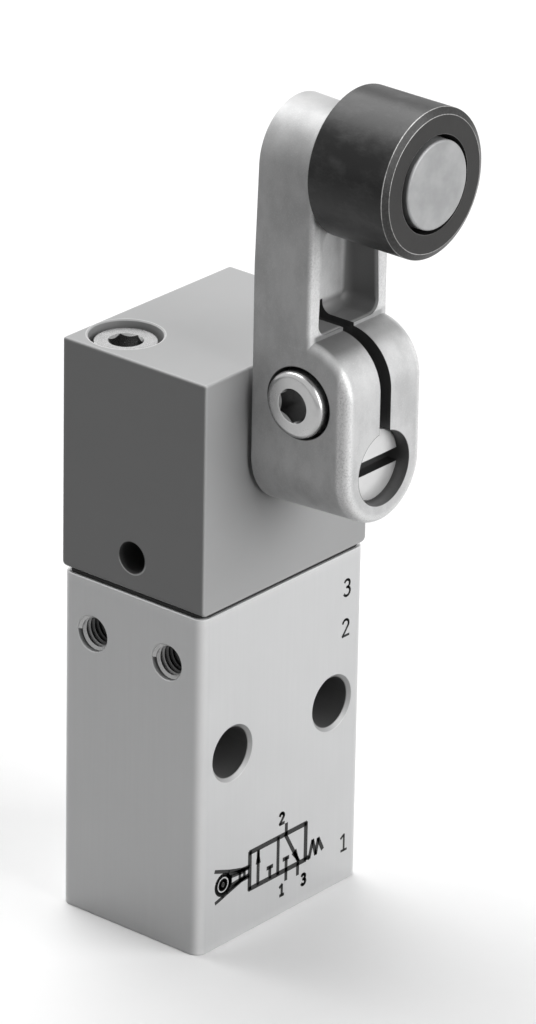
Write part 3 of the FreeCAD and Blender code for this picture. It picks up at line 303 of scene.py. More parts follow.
print("a Finish writes its own nodes")

# %% [markdown]
# ## Satin aluminium of the block
#
# The block is drawn aluminium bar, sawn off, milled, tumbled and clear anodised. That leaves an even pale satin with
# a very fine grain and faint lines along the bar. Its upright edges are painted brighter than the faces, partly as
# wear and partly as a painted highlight where their rounding catches the light. The edges could be a second material,
# but their brightness fades out softly. So one mask rises towards them, over three layers of grain of different
# sizes.

# %% Satin skin
def edge_wear_and_highlight(finish, low, high, reach, level=1.0):
    """1 along the upright edges of a block, level along the others, and 0 a reach away from them."""
    middle = [(a + b) / 2 / MM for a, b in zip(low, high)]
    half = [(b - a) / 2 / MM for a, b in zip(low, high)]
    lengths = finish.across(finish.place(centre=middle))
    close = [length.size().rise(side - reach, side) for length, side in zip(lengths, half)]
    return close[0] * close[1] + (close[1] * close[2] + close[2] * close[0]) * level


satin = Finish("satin_aluminium", Metallic=0.37, Specular_IOR_Level=0.4)
drawn = satin.grain(satin.place(stretch=(1.0, 1.0, 40.0)), 0.35, detail=2.0)
cloudy = satin.grain(satin.place(), 9.0, detail=3.0)
speckled = satin.grain(satin.place(), 0.16, detail=2.0)
body_edge_wear_and_highlight = edge_wear_and_highlight(satin, block_low, block_high, 1.5, level=0.1)
satin_colour = satin.blend(grey(0.575, -0.006), grey(0.640, -0.004), cloudy * 0.6 + drawn * 0.4)
# Partly wear, partly painted highlight: the edges are lightened towards grey 0.86.
satin_colour = satin.blend(satin_colour, grey(0.86), body_edge_wear_and_highlight * 1.1)
print("satin skin for the block")

# %% [markdown]
# ## Bores of the block
#
# The holes are drilled after tumbling. Their walls are painted dark grey, as painted shade inside the holes, and the
# cutter that bevels the mouths of the mounting holes leaves a greyer ring. The walls could be cut off as faces with a
# material of their own, but the solids stay whole here, so each hole is a mask round its axis.

# %% Painted shade in the bores
block_lengths = satin.across(satin.place())
block_x, block_y, block_z = block_lengths
both_sides = [block_x.size(), block_y, block_z]
bores = satin.drilled(both_sides, 1, MOUNT_HOLE, MOUNT_RADIUS)
in_left_side = block_x.rise(LEFT + 0.1, LEFT + 0.8) * block_x.fall(-MASK_END - 0.1, -MASK_END)
in_right_side = block_x.rise(MASK_END, MASK_END + 0.1)
for y, z in SIDE_THREADS:
    bores = bores + satin.drilled(block_lengths, 0, (0.0, y, z), M5_RADIUS) * in_left_side
for y, z in PORTS.values():
    bores = bores + satin.drilled(block_lengths, 0, (0.0, y, z), M5_RADIUS) * in_right_side

bevels = satin.drilled(both_sides, 1, MOUNT_HOLE, MOUNT_RADIUS + MOUNT_BEVEL - 0.1)
bevels = bevels * block_y.fall(FRONT + MOUNT_BEVEL - 0.1, FRONT + MOUNT_BEVEL)
satin_colour = satin.blend(satin_colour, grey(0.34), bevels * 0.75)
# Painted shade: the bore walls are darkened to grey 0.15.
satin.wear(
    Base_Color=satin.blend(satin_colour, grey(0.15), bores * 0.95),
    Roughness=0.40 + cloudy * 0.06 + speckled * 0.05,
    Normal=satin.bump(speckled * 0.7 + drawn * 0.3, 0.006),
)
print("seven bores and two bevelled mouths")

# %% [markdown]
# ## Grey anodising of the head
#
# The head is the same metal, anodised a darker, flatter grey. It could be the block's finish with another colour,
# but a thicker oxide also takes the metal's shine away, so this finish has no metal in it and a rougher face. The
# screws' pockets and the vent are cut through the oxide, which leaves a light ring at each mouth. The vent's ring is
# painted light only on its lower half, as a painted highlight, and the vent itself is painted dark, as painted shade.

# %% Grey anodising
hard = Finish("grey_anodising", Metallic=0.0, Specular_IOR_Level=0.32)
hard_cloud = hard.grain(hard.place(), 7.0, detail=4.0)
hard_specks = hard.grain(hard.place(), 0.14, detail=2.0)
head_edge_wear_and_highlight = edge_wear_and_highlight(hard, head_low, head_high, 0.55)
hard_colour = hard.blend(grey(0.390, -0.004), grey(0.420, -0.004), hard_cloud)
# Partly wear, partly painted highlight: the head's edges are lightened towards grey 0.56.
hard_colour = hard.blend(hard_colour, grey(0.56), head_edge_wear_and_highlight * (0.30 + hard_specks * 0.4))

head_lengths = hard.across(hard.place())
hard_x, hard_y, hard_z = head_lengths
half_turn = [hard_x - hard_x * hard_y.rise(-0.1, 0.1) * 2.0, hard_y.size(), hard_z]
pocket_mouth = hard.drilled(half_turn, 2, HEAD_SCREW, HEAD_POCKET_RADIUS + 0.27)
pocket_mouth = pocket_mouth - hard.drilled(half_turn, 2, HEAD_SCREW, HEAD_POCKET_RADIUS - 0.03)
hard_colour = hard.blend(hard_colour, grey(0.62), pocket_mouth * hard_z.rise(HEAD_TOP - 0.3, HEAD_TOP - 0.2))

on_left = hard_x.fall(-MASK_END - 0.1, -MASK_END)
vent = hard.drilled(head_lengths, 0, VENT, VENT_RADIUS) * on_left
vent_mouth = hard.drilled(head_lengths, 0, VENT, VENT_RADIUS + 0.23) * on_left - vent
# Painted highlight: only the lower half of the vent's light ring is lightened.
hard_colour = hard.blend(hard_colour, grey(0.85), vent_mouth * hard_z.fall(VENT[2] - 1.6, VENT[2]))
# Painted shade: the vent's hole is darkened to grey 0.05.
hard.wear(
    Base_Color=hard.blend(hard_colour, grey(0.05), vent * 0.9),
    Roughness=0.42 + hard_cloud * 0.06 + hard_specks * 0.04,
    Normal=hard.bump(hard_specks, 0.005),
)
print("grey anodising for the head, with two pockets and a vent")

# %% [markdown]
# ## Cast skin of the lever
#
# The lever is cast and tumbled with stones. Its skin is grainy, cloudy on the broad faces and specked by the stones.
# A single grain would give either clouds or specks. Two grains carry the skin, a wide one and a small one, and each
# has a bump of its own.

# %% Cast skin
cast = Finish("tumbled_casting", Specular_IOR_Level=0.25)
cast_cloud = cast.grain(cast.place(stretch=(1.0, 1.0, 1.6)), 3.2, detail=5.0, roughness=0.6)
cast_specks = cast.grain(cast.place(), 0.22, detail=3.0, roughness=0.75)
cast_colour = cast.blend(grey(0.530, -0.004), grey(0.650, -0.002), cast_cloud.rise(0.3, 0.7))
cast_colour = cast.blend(cast_colour, grey(0.80), cast_specks.rise(0.50, 0.66) * 0.26)
cast.wear(
    Roughness=0.44 + cast_cloud * 0.10 - cast_specks * 0.06,
    Normal=cast.bump(cast_specks, 0.016, cast.bump(cast_cloud, 0.035)),
)
print("cast skin for the lever")

# %% [markdown]
# ## Rubbed rims and painted highlights of the lever
#
# Stones hit the raised rims most, so the round rim of the boss and the two long rims of the arm are rubbed light,
# and they are painted lighter still, as a painted highlight where their rounding catches the light.
# They could be painted by hand, but the lever's own outline tells where they are: the distance outwards from the
# shaft's axis and from the arm's middle line, and the distance forwards.

# %% Rub the rims and paint their highlight
BOSS_FRONT = -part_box("roller_lever")[0].y / MM
ARM_FRONT = -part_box("roller_washer")[1].y / MM
SHOULDER_TOP = 86.8

cast_lengths = cast.across(cast.place())
cast_x, cast_y, cast_z = cast_lengths
below_axis = (cast_z - SHAFT_Z).below_zero()
outwards = (cast_x * cast_x + below_axis * below_axis) ** 0.5
forwards = 0.0 - cast_y
boss_rim = outwards.rise(5.9, 6.9) * forwards.rise(BOSS_FRONT - 2.05, BOSS_FRONT - 1.35)
arm_rim = outwards.rise(5.7, 6.1) * forwards.rise(ARM_FRONT - 0.75, ARM_FRONT - 0.25)
arm_rim = arm_rim * cast_z.rise(SHOULDER_TOP, SHOULDER_TOP + 0.8)
rubbed_and_highlit = (boss_rim + arm_rim * 0.6) * (0.30 + cast_specks.rise(0.34, 0.60) * 0.80)
# Partly wear, partly painted highlight: the rims are lightened towards grey 0.84.
cast_colour = cast.blend(cast_colour, grey(0.84), rubbed_and_highlit)
cast.wear(Metallic=0.18 + rubbed_and_highlit * 0.16)
print("rims rubbed", round(BOSS_FRONT, 2), "and", round(ARM_FRONT, 2), "mm before the middle")

# %% [markdown]
# ## Painted shade on the lever
#
# The far wall of the channel and its low end are painted dark, as painted shade. The shoulder below the channel is
# painted dark as a painted reflection, more on the left of the slit, and the crown's top a little darker as painted
# shade. The bore, the slit and the pocket of the screw are painted dark, as painted shade inside them.
# A light in the right place could leave the same shade, but it would go when the lever swings. Masks go along with
# the lever.

# %% Paint shade in the channel, on the shoulder, on the crown and in the cuts
CHANNEL_FLOOR, CHANNEL_HALF_WIDTH = 15.6, 6.05
CHANNEL_LOW, CHANNEL_HIGH = 86.0, 101.0
SHOULDER_LOW, SHOULDER_MIDDLE = 82.6, 24.0
CROWN_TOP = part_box("roller_lever")[1].z / MM
SHAFT_BORE_RADIUS, CLAMP_POCKET_RADIUS, CLAMP_POCKET_FLOOR = 5.0, 4.86, -1.0
SLIT_HALF_WIDTH, SLIT_LOW, SLIT_HIGH = 1.06, 73.0, 88.6

in_channel = forwards.rise(CHANNEL_FLOOR - 0.1, CHANNEL_FLOOR + 0.1)
in_channel = in_channel * forwards.fall(ARM_FRONT - 0.85, ARM_FRONT - 0.25)
in_channel = in_channel * cast_z.rise(CHANNEL_LOW, CHANNEL_LOW + 0.1)
in_channel = in_channel * cast_z.fall(CHANNEL_HIGH - 0.1, CHANNEL_HIGH + 0.1)
in_channel = in_channel * outwards.fall(CHANNEL_HALF_WIDTH, CHANNEL_HALF_WIDTH + 0.05)
shaded_wall_and_end = cast_x.rise(4.7, 5.3) + cast_z.fall(CHANNEL_LOW + 1.9, CHANNEL_LOW + 3.0)
# Painted shade: the channel's far wall and low end are darkened to grey 0.21.
cast_colour = cast.blend(cast_colour, grey(0.21), in_channel * shaded_wall_and_end)

on_shoulder = forwards.rise(ARM_FRONT - 0.35, ARM_FRONT - 0.05) * outwards.fall(6.2, 7.0)
on_shoulder = on_shoulder * forwards.fall(SHOULDER_MIDDLE, SHOULDER_MIDDLE + 2.0)
on_shoulder = on_shoulder * cast_z.rise(SHOULDER_LOW, SHOULDER_LOW + 0.8)
on_shoulder = on_shoulder * cast_z.fall(SHOULDER_TOP + 0.1, SHOULDER_TOP + 0.5)
# Painted dark reflection: the shoulder below the channel is darkened to grey 0.14, less right of the slit.
cast_colour = cast.blend(cast_colour, grey(0.14), on_shoulder * (0.85 - cast_x.rise(0.0, 1.5) * 0.35))
# Painted shade: the crown's top is darkened towards grey 0.40.
cast_colour = cast.blend(cast_colour, grey(0.40), cast_z.rise(CROWN_TOP - 0.84, CROWN_TOP - 0.24) * 0.5)

cuts = cast.drilled(cast_lengths, 1, (0.0, 0.0, SHAFT_Z), SHAFT_BORE_RADIUS)
pocket = cast.drilled(cast_lengths, 0, CLAMP_SCREW, CLAMP_POCKET_RADIUS)
cuts = cuts + pocket * cast_x.fall(CLAMP_POCKET_FLOOR - 0.1, CLAMP_POCKET_FLOOR)
slit = cast_x.size().fall(SLIT_HALF_WIDTH, SLIT_HALF_WIDTH + 0.04)
cuts = cuts + slit * cast_z.rise(SLIT_LOW, SLIT_LOW + 0.1) * cast_z.fall(SLIT_HIGH, SLIT_HIGH + 0.1)
# Painted shade: the bore, the clamp screw's pocket and the slit are darkened to grey 0.06.
cast.wear(Base_Color=cast.blend(cast_colour, grey(0.06), cuts * 0.9))
print("channel, shoulder and crown dulled; bore, pocket and slit darkened")

# %% [markdown]
# ## Burnished steel of the roller
#
# The roller is steel, blackened in hot salts and oiled. Where it has run, the black is rubbed into grey smears and
# its sharp rims are worn to bright thin lines. The recess round its pin is painted near black, as painted shade. The
# rims are circles, so their place is the distance from the roller's own axis. That costs a few nodes and stays sharp
# at any distance, which a painted picture wouldn't.

# %% Burnished steel
roller_low, roller_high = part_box("roller")
roller_face = middle_of("roller")
roller_face[1] = roller_low.y / MM
ROLLER_RADIUS = (roller_high.x - roller_low.x) / 2 / MM
BEVEL_WIDTH, BEVEL_DEPTH = 0.90, 0.50
BEVEL_START = ROLLER_RADIUS - BEVEL_WIDTH
RECESS_RADIUS = 6.43

black = Finish("burnished_steel", Specular_IOR_Level=0.30)
black_place = black.place(centre=roller_face)
black_x, black_depth, black_z = black.across(black_place)
black_radius = (black_x * black_x + black_z * black_z) ** 0.5
smears = black.grain(black.place(stretch=(1.0, 1.7, 1.0)), 2.6, detail=6.0, roughness=0.62)
pits = black.grain(black_place, 0.35, detail=4.0, roughness=0.7)
patches = black.grain(black_place, 5.0, detail=2.0)
on_side = black_radius.rise(ROLLER_RADIUS - 0.10, ROLLER_RADIUS - 0.02)
on_bevel = black_radius.rise(BEVEL_START, BEVEL_START + 0.05) * (1.0 - on_side)
in_recess = black_radius.fall(RECESS_RADIUS - 0.07, RECESS_RADIUS - 0.01)
rims = black_radius.near(ROLLER_RADIUS, 0.14) * black_depth.near(BEVEL_DEPTH, 0.22)
rims = rims + black_radius.near(BEVEL_START, 0.14) * black_depth.near(0.0, 0.16)
rims = rims + black_radius.near(RECESS_RADIUS, 0.10) * black_depth.near(0.0, 0.2) * 0.6
worn = (rims * (pits * 0.9 + patches * 0.8)).rise(0.30, 1.0)

face_colour = black.blend(grey(0.010, 0.02), grey(0.022, 0.05), smears)
side_colour = black.blend(grey(0.002), grey(0.050), smears.rise(0.42, 0.75))
steel_colour = black.blend(face_colour, side_colour, on_side)
steel_colour = black.blend(steel_colour, grey(0.045), on_bevel * pits.rise(0.35, 0.75))
# Painted shade: the recess round the pin is darkened to near black.
steel_colour = black.blend(steel_colour, grey(0.002), in_recess)
black.wear(
    Base_Color=black.blend(steel_colour, grey(0.42, 0.01), worn),
    Roughness=0.28 + smears * 0.18 + worn * 0.1 + in_recess * 0.5,
    Metallic=worn * 0.6,
    Normal=black.bump(pits, 0.010, black.bump(smears, 0.02)),
)
print("burnished steel, worn at radius", round(ROLLER_RADIUS, 2), "mm")

# %% [markdown]
# ## Pressed steel of the pin
#
# The pin's head was pressed flat and has a dull, blotched skin with fine upright scratches. It could share one
# steel with the screws, but side by side their shine is what tells them apart. So it has wide blotches of its own
# and shines much less like metal.

# %% Pressed steel
dull = Finish("pressed_steel", Metallic=0.35, Specular_IOR_Level=0.4)
blotches = dull.grain(dull.place(), 3.4, detail=4.0)
scratches = dull.grain(dull.place(stretch=(1.0, 1.0, 6.0)), 0.18, detail=2.0)
dull.wear(
    Base_Color=dull.blend(grey(0.33, -0.01), grey(0.42, -0.006), blotches.rise(0.28, 0.72)),
    Roughness=0.42 + blotches * 0.12,
    Normal=dull.bump(scratches * 0.6 + blotches * 0.4, 0.012),
)
print("pressed steel for the pin")

# %% [markdown]
# ## Plated steel of the screws
#
# The socket screws are zinc plated and bright. A hexagon that is only cut into bright metal mirrors the sky down to
# its floor, so a mask darkens each socket from just under the head's face, as painted shade.

# %% Plated steel
SCREW_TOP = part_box("head_screws")[1].z / MM
CLAMP_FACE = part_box("clamp_screw")[0].x / MM
SOCKET_RADIUS = 2.32

plated = Finish("plated_steel", Metallic=1.0)
plated_cloud = plated.grain(plated.place(), 1.2, detail=3.0)
plated_specks = plated.grain(plated.place(), 0.10, detail=2.0)
plated_x, plated_y, plated_z = plated.across(plated.place())
head_sockets = plated.drilled([plated_x.size(), plated_y.size(), plated_z], 2, HEAD_SCREW, SOCKET_RADIUS)
head_sockets = head_sockets * plated_z.fall(SCREW_TOP - 0.06, SCREW_TOP - 0.02)
clamp_socket = plated.drilled([plated_x, plated_y, plated_z], 0, CLAMP_SCREW, SOCKET_RADIUS)
clamp_socket = clamp_socket * plated_x.rise(CLAMP_FACE + 0.03, CLAMP_FACE + 0.07)
# Painted shade: the sockets are darkened to grey 0.07, the clamp screw's more than the head screws'.
sockets = head_sockets * 0.35 + clamp_socket * 0.72
plated.wear(
    Base_Color=plated.blend(plated.blend(grey(0.38), grey(0.48), plated_cloud), grey(0.07), sockets),
    Roughness=0.22 + plated_cloud * 0.08,
    Normal=plated.bump(plated_specks, 0.003),
)
print("plated steel for the screws")

# %% [markdown]
# ## Ground steel of the shaft
#
# The shaft, its cam and the washer are ground, which leaves the finest lines of all, running round the axis. The
# driver slot in the shaft's end is sawn. It could be left to its own shadow, but it is wide and shallow and would
# look grey, so its walls and floor are painted dark as well, as painted shade.

# %% Ground steel
SHAFT_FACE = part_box("lever_shaft")[0].y / MM
SLOT_HALF_WIDTH = 1.04

ground = Finish("ground_steel", Metallic=0.70, Specular_IOR_Level=0.5)
ground_lines = ground.grain(ground.place(stretch=(14.0, 1.0, 1.0)), 0.12, detail=2.0)
ground_cloud = ground.grain(ground.place(), 2.0, detail=3.0)
ground_y, ground_z = ground.across(ground.place())[1:]
slot = (ground_z - SHAFT_Z).size().fall(SLOT_HALF_WIDTH, SLOT_HALF_WIDTH + 0.04)
slot = slot * ground_y.rise(SHAFT_FACE + 0.03, SHAFT_FACE + 0.08)
# Painted shade: the driver slot is darkened to grey 0.035.
ground.wear(
    Base_Color=ground.blend(ground.blend(grey(0.62), grey(0.72), ground_cloud), grey(0.035), slot * 0.95),
    Roughness=0.34 + ground_lines * 0.08,
    Normal=ground.bump(ground_lines, 0.004),
)
print("ground steel for the shaft")

# %% [markdown]
# ## Metals and rubber inside
#
# Springs, bushes, brass inserts and rubber rings are inside the block and show only when it is taken apart. They
# could stay plain, but the same parts are looked at one by one later, so each has the finish that its material has:
# drawn lines on wire, a warm speckle in sintered bronze, turning marks on brass and a dull bloom on rubber.

# %% Wire, bronze, brass and rubber
wire = Finish("drawn_wire", Metallic=1.0)
wire_cloud = wire.grain(wire.place(), 0.5, detail=3.0)
wire.wear(
    Base_Color=wire.blend(grey(0.36), grey(0.55), wire_cloud),
    Roughness=0.26 + wire_cloud * 0.14,
    Normal=wire.bump(wire_cloud, 0.004),
)

bronze = Finish("sintered_bronze", Metallic=1.0)
pores = bronze.grain(bronze.place(), 0.18, detail=4.0, roughness=0.7)
bronze.wear(
    Base_Color=bronze.blend((0.20, 0.105, 0.045, 1.0), (0.52, 0.30, 0.14, 1.0), pores.rise(0.3, 0.6)),
    Roughness=0.55 - pores * 0.12,
    Normal=bronze.bump(pores, 0.02),
)

brass = Finish("turned_brass", Metallic=1.0)
turning = brass.grain(brass.place(stretch=(9.0, 9.0, 1.0)), 0.12, detail=2.0)
brass_cloud = brass.grain(brass.place(), 2.5, detail=3.0)
brass.wear(
    Base_Color=brass.blend((0.60, 0.42, 0.16, 1.0), (0.74, 0.55, 0.24, 1.0), brass_cloud),
    Roughness=0.24 + turning * 0.12,
    Normal=brass.bump(turning, 0.005),
)

rubber = Finish("black_rubber", Specular_IOR_Level=0.3)
bloom = rubber.grain(rubber.place(), 0.8, detail=4.0)
rubber.wear(
    Base_Color=rubber.blend(grey(0.012), grey(0.030), bloom),
    Roughness=0.58 + bloom * 0.2,
    Normal=rubber.bump(bloom, 0.006),
)
print("wire, bronze, brass and rubber")

# %% [markdown]
# ## Which part has which finish
#
# Every solid arrives with the name of its material slot. A finish could be chosen part by part, but parts of one
# slot are one material on the real valve as well, so a short table from slot to finish dresses them all.

# %% Dress the solids
FINISH_OF_SLOT = {
    "body_aluminium": "satin_aluminium",
    "head_aluminium": "grey_anodising",
    "lever_zinc": "tumbled_casting",
    "black_roller": "burnished_steel",
    "pin_steel": "pressed_steel",
    "bright_steel": "plated_steel",
    "ground_steel": "ground_steel",
    "spring_steel": "drawn_wire",
    "bronze": "sintered_bronze",
    "brass": "turned_brass",
    "black_rubber": "black_rubber",
}


def dress(solid):
    """Gives each material slot of a solid its finish."""
    for material_slot in solid.material_slots:
        name = material_slot.material.name.split(".")[0]
        material_slot.material = Finish.made[FINISH_OF_SLOT[name]]


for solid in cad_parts.values():
    dress(solid)
print(len(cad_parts), "solids dressed in", len(FINISH_OF_SLOT), "finishes")

# %% [markdown]
# ## New pieces
#
# Threads and print are pieces of their own, fixed to the block. Their shape is made round the origin, where its sums
# are easy, and is then carried to its place in the mesh itself. The object could be moved instead, but a pattern on a
# part's own coordinates stays put only if the object never leaves the origin.

# %% Finish a piece
def keep_piece(name, shape, placing, body, material):
    """Makes an object of a bmesh, with its place in its mesh, and lets it ride on a body."""
    bmesh.ops.remove_doubles(shape, verts=shape.verts, dist=0.0005 * MM)
    bmesh.ops.recalc_face_normals(shape, faces=shape.faces)
    bmesh.ops.transform(shape, matrix=placing, verts=shape.verts)
    mesh = bpy.data.meshes.new(name)
    shape.to_mesh(mesh)
    shape.free()
    mesh.materials.append(material)
    piece = bpy.data.objects.new(name, mesh)
    bpy.context.scene.collection.objects.link(piece)
    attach(piece, body)


print("pieces are kept at the origin")

# %% [markdown]
# ## Tapped metal
#
# A tap cuts bright ridges into a drilled hole. Further in they are painted dark, as painted shade in the hole. They
# could share the bores' painted dark grey, but then no ridge shows. So the ridges have a finish that is light near
# the hole's mouth and painted dark behind it.

# %% Tapped aluminium
tapped = Finish("tapped_aluminium", Metallic=0.85)
tapped_marks = tapped.grain(tapped.place(), 0.18, detail=3.0)
tapped_x = tapped.across(tapped.place())[0]
near_mouth = tapped_x.size().rise(RIGHT - 3.3, RIGHT - 0.7)
# Painted shade: the ridges are darkened to grey 0.05 more than 3.3 mm below the mouth.
tapped.wear(
    Base_Color=tapped.blend(grey(0.05), tapped.blend(grey(0.26), grey(0.46), tapped_marks), near_mouth),
    Roughness=0.30 + tapped_marks * 0.12,
    Normal=tapped.bump(tapped_marks, 0.006),
)
print("tapped aluminium, dark from 3.3 mm below the mouth")

# %% [markdown]
# ## Threads in the holes
#
# Two tapped holes in the side take the screws of a bracket, and three ports take the air fittings. The tap cuts a
# groove that winds in, so that a sharp ridge is left between its turns. A stack of rings would look right from
# straight ahead but not at the mouth, where a real thread runs out. So the ridge is one profile, spun round the
# hole's axis while it moves in by one pitch each turn.

# %% Wind the threads
THREAD_PITCH = 0.8
THREAD_DEPTH, DEPTH_IN_WALL = 0.42, 0.04
FOOT_HALF_WIDTH, CREST_HALF_WIDTH = 0.33, 0.05
FIRST_RIDGE = 0.45
STEPS_A_TURN = 28


def thread_ridge(turns):
    """A closed ridge that winds up the Z axis along a bore's wall."""
    shape = bmesh.new()
    foot, crest = M5_RADIUS + DEPTH_IN_WALL, M5_RADIUS - THREAD_DEPTH
    lower_half = [(foot, -FOOT_HALF_WIDTH), (crest, -CREST_HALF_WIDTH)]
    corners = lower_half + [(crest, CREST_HALF_WIDTH), (foot, FOOT_HALF_WIDTH)]
    points = [shape.verts.new((x * MM, 0.0, z * MM)) for x, z in corners]
    profile = shape.faces.new(points)
    bmesh.ops.spin(
        shape, geom=[profile, *profile.edges, *points], axis=(0, 0, 1), cent=(0, 0, 0), angle=turns * math.tau,
        dvec=(0, 0, THREAD_PITCH * MM / STEPS_A_TURN), steps=int(turns * STEPS_A_TURN),
    )
    return shape


def wind_thread(name, mouth, inward, turns):
    """Puts a ridge into a hole, from its mouth inwards."""
    turn = Vector(inward).to_track_quat("Z", "Y").to_matrix().to_4x4()
    start = Matrix.Translation((Vector(mouth) + Vector(inward) * FIRST_RIDGE) * MM)
    keep_piece(name, thread_ridge(turns), start @ turn, "valve", tapped.material)


for number, (y, z) in enumerate(SIDE_THREADS, 1):
    wind_thread(f"side_thread_{number}", (LEFT, y, z), (1, 0, 0), turns=6.0)
for port, (y, z) in PORTS.items():
    wind_thread(f"{port}_port_thread", (RIGHT, y, z), (-1, 0, 0), turns=5.0)
print("five threads wound")

# %% [markdown]
# ## Print on the front
#
# The ports are numbered on the front: 1 is the supply, 2 the outlet and 3 the exhaust. The marks are printed with a
# round technical hand. They could be a mask in the block's material, or text in a font, but a drawing made of pen
# strokes stays sharp and follows one pen for numbers and symbol. Each stroke is a flat bar, two hundredths of a
# millimetre proud of the face.

# %% A pen for the front
PRINT_PROUD = 0.02

ink = Finish("printing_ink", Specular_IOR_Level=0.25)
ink_specks = ink.grain(ink.place(), 0.12, detail=3.0)
ink.wear(Base_Color=ink.blend(grey(0.022), grey(0.050), ink_specks), Roughness=0.6 + ink_specks * 0.15)


def draw_stroke(shape, start, end, width):
    """A flat bar from one place on the front to another, with square ends."""
    start, end = Vector((start[0], 0.0, start[1])) * MM, Vector((end[0], 0.0, end[1])) * MM
    along = end - start
    turn = Matrix.Rotation(-math.atan2(along.z, along.x), 4, "Y")
    size = Matrix.Diagonal((along.length + width * MM / 2, 2 * PRINT_PROUD * MM, width * MM, 1.0))
    bmesh.ops.create_cube(shape, size=1.0, matrix=Matrix.Translation((start + end) / 2) @ turn @ size)


def print_on_front(name, runs, width, x=0.0, z=0.0, size=1.0):
    """Draws runs of strokes, from point to point, with their origin at x and z on the block's front."""
    shape = bmesh.new()
    for points in runs:
        places = [(px * size, pz * size) for px, pz in points]
        for start, end in zip(places, places[1:]):
            draw_stroke(shape, start, end, width)
    place = Matrix.Translation(Vector((x, FRONT, z)) * MM)
    keep_piece(name, shape, place, "valve", ink.material)


print("a pen that stands", PRINT_PROUD, "mm proud")

# %% [markdown]
# ## Port numbers
#
# Three digits are needed, each in two sizes. A font would bring its own thick and thin strokes, and its outlines
# would have to be filled. Here a digit is a few straight runs and arcs for the pen, in a box one unit high.

# %% Number the ports
def arc(x, y, radius, first, last, steps=12):
    """Points on an arc, from one angle to another in degrees."""
    angles = [math.radians(first + (last - first) * step / steps) for step in range(steps + 1)]
    return [(x + radius * math.cos(angle), y + radius * math.sin(angle)) for angle in angles]


DIGITS = {
    "1": [[(-0.24, 0.30), (0.02, 0.46), (0.02, -0.46)], [(-0.20, -0.46), (0.24, -0.46)]],
    "2": [arc(-0.02, 0.22, 0.24, 165, -35) + [(-0.26, -0.46), (0.26, -0.46)]],
    "3": [arc(-0.03, 0.24, 0.22, 150, -90) + arc(-0.03, -0.21, 0.25, 90, -150)],
}
for digit, x, z in (("3", 12.67, 43.22), ("2", 12.56, 37.49), ("1", 13.15, 5.72)):
    print_on_front(f"port_number_{digit}", DIGITS[digit], 0.34, x, z, size=2.5)
print("port numbers printed")

# %% [markdown]
# ## The valve's symbol
#
# Fluid power drawings show a valve as one square for each position, with the paths that are open in it. Here there
# are two squares, a roller lever on the left and a spring on the right. The pen is broader for the squares than for
# the paths. The arrow heads, the lever and the roller could be filled faces, but a plotter fills them by strokes
# side by side, and so does this one.

# %% Draw the symbol
def arrow_head(tip, base, half_width, rows=5):
    """Strokes that fill a slim triangle from its base to its tip."""
    tip, base = Vector(tip), Vector(base)
    across = Vector((-(tip - base).y, (tip - base).x)).normalized() * half_width
    return [[tuple(base + across * (2 * row / (rows - 1) - 1)), tuple(tip)] for row in range(rows)]


square_runs = [[(-6.15, 6.2), (-6.15, 11.55), (5.22, 11.55), (5.22, 6.2), (-6.15, 6.2)]]
path_runs = [
    [(-0.42, 6.2), (-0.42, 11.55)],
    [(-4.45, 6.3), (-4.45, 11.2)],
    [(-2.05, 6.3), (-2.05, 7.85)], [(-2.55, 7.85), (-1.55, 7.85)],
    [(1.27, 4.75), (1.27, 7.9)], [(0.72, 7.9), (1.72, 7.9)],
    [(3.67, 4.6), (3.67, 6.2)], [(1.18, 11.5), (1.18, 13.0)],
    [(1.0, 11.5), (3.8, 6.55)],
]
head_runs = arrow_head((-4.45, 11.1), (-4.45, 9.35), 0.36) + arrow_head((3.85, 6.5), (2.87, 8.25), 0.40)
spring_runs = [[(5.4, 6.45), (6.0, 6.15), (6.68, 8.45), (7.35, 6.25), (7.83, 8.3), (8.72, 6.5)]]
lever_runs = [
    [(-13.1, 11.38), (-10.35, 10.4), (-7.75, 9.68), (-6.3, 9.58)],
    [(-12.95, 6.72), (-11.5, 7.1), (-10.66, 7.35), (-7.7, 8.1), (-6.3, 8.12)],
    [(-10.7, 9.95), (-6.4, 9.38)], [(-10.2, 9.5), (-7.3, 9.25)],
    [(-10.5, 7.75), (-6.4, 8.4)], [(-10.1, 8.2), (-7.3, 8.42)],
    [(-9.98, 8.4), (-9.98, 9.6)], [(-8.12, 8.4), (-8.12, 9.4)], [(-7.22, 8.4), (-7.22, 9.4)],
]
roller_runs = [arc(-11.5, 8.9, 1.38, 0, 360, 24), arc(-11.5, 8.9, 0.62, 0, 360, 16), [(-11.8, 8.9), (-11.2, 8.9)]]
print_on_front("symbol_squares", square_runs, 0.72)
print_on_front("symbol_paths", path_runs, 0.58)
print_on_front("symbol_arrow_heads", head_runs, 0.24)
print_on_front("symbol_spring", spring_runs, 0.60)
print_on_front("symbol_roller_lever", lever_runs, 0.52)
print_on_front("symbol_roller", roller_runs, 0.56)
for digit, x, z in (("2", 0.26, 14.14), ("1", 0.45, 3.52), ("3", 4.93, 3.38)):
    print_on_front(f"symbol_number_{digit}", DIGITS[digit], 0.44, x, z, size=1.65)
print("symbol drawn with six pens and three numbers")

# %% [markdown]
# ## The floor
#
# A catalogue picture has a white sheet under the object. A bright lamp could burn any floor white, but it would burn
# the metal too. So the sheet is pale where the camera or a mirror-like face looks at it, and darker to the soft
# light that it throws back, which leaves the undersides in shade as on a real table.

# %% Lay the sheet
sheet_shape = bmesh.new()
bmesh.ops.create_grid(sheet_shape, x_segments=4, y_segments=4, size=6.0)
sheet_mesh = bpy.data.meshes.new("white_sheet")
sheet_shape.to_mesh(sheet_mesh)
sheet_shape.free()
sheet = bpy.data.objects.new("white_sheet", sheet_mesh)
bpy.context.scene.collection.objects.link(sheet)

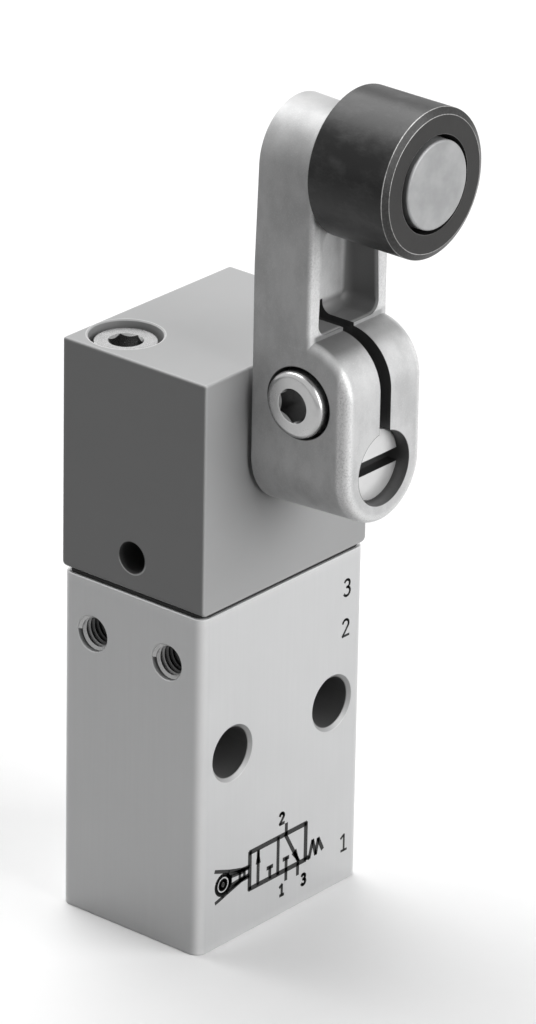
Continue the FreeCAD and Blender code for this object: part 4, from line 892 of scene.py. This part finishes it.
paper = Finish("white_paper", Specular_IOR_Level=0.0, Roughness=0.9)
paper_white = paper.blend(grey(0.96), grey(0.98), paper.grain(paper.place(), 4.0, detail=2.0))
paper.wear(Base_Color=paper.blend(grey(0.14), paper_white, paper.looked_at()))
sheet_mesh.materials.append(paper.material)
print("sheet laid at z 0")

# %% [markdown]
# ## Lamps
#
# Two soft boxes light the valve. A large one hangs above and behind it: it brightens the tops and draws the pale
# band over the round end of the lever. A second stands before the front and a little to the right, so that the front
# is light, the left side stays dark, and the lever throws a narrow soft shadow to the left. Bare lamps would give
# hard spots on the metal, so both are wide.

# %% Hang the soft boxes
VALVE_MIDDLE = Vector((0.0, 0.0, 0.06))


def soft_box(name, towards, distance, width, height, power):
    """A rectangular lamp that looks at the valve from a direction."""
    lamp = bpy.data.lights.new(name, "AREA")
    lamp.shape = "RECTANGLE"
    lamp.size, lamp.size_y = width, height
    lamp.energy = power
    box = bpy.data.objects.new(name, lamp)
    bpy.context.scene.collection.objects.link(box)
    direction = Vector(towards).normalized()
    box.location = VALVE_MIDDLE + direction * distance
    box.rotation_euler = direction.to_track_quat("Z", "Y").to_euler()


soft_box("top_box", towards=(0.14, 0.46, 0.87), distance=1.0, width=0.95, height=0.8, power=10.7)
soft_box("front_box", towards=(0.22, -0.90, 0.34), distance=0.95, width=0.9, height=0.8, power=8.9)
print("two soft boxes hung")

# %% [markdown]
# ## The room
#
# White walls round the valve would fill every shadow. Black ones would leave the metal nothing to mirror. The room
# here is both: white to the camera and to shiny faces, and dim in the soft light that it gives.

# %% Paint the room
DIM_LIGHT = 0.105

room = bpy.data.worlds.new("white_room")
room.use_nodes = True
bpy.context.scene.world = room
room_nodes = Nodes(room.node_tree)
backdrop = room.node_tree.nodes["Background"]
room_nodes.feed(backdrop.inputs["Color"], (1.0, 1.0, 1.0, 1.0))
room_nodes.feed(backdrop.inputs["Strength"], DIM_LIGHT + room_nodes.looked_at() * (1.0 - DIM_LIGHT))
bpy.context.scene.view_settings.view_transform = "Standard"
print("a white room that gives", DIM_LIGHT, "of its light")
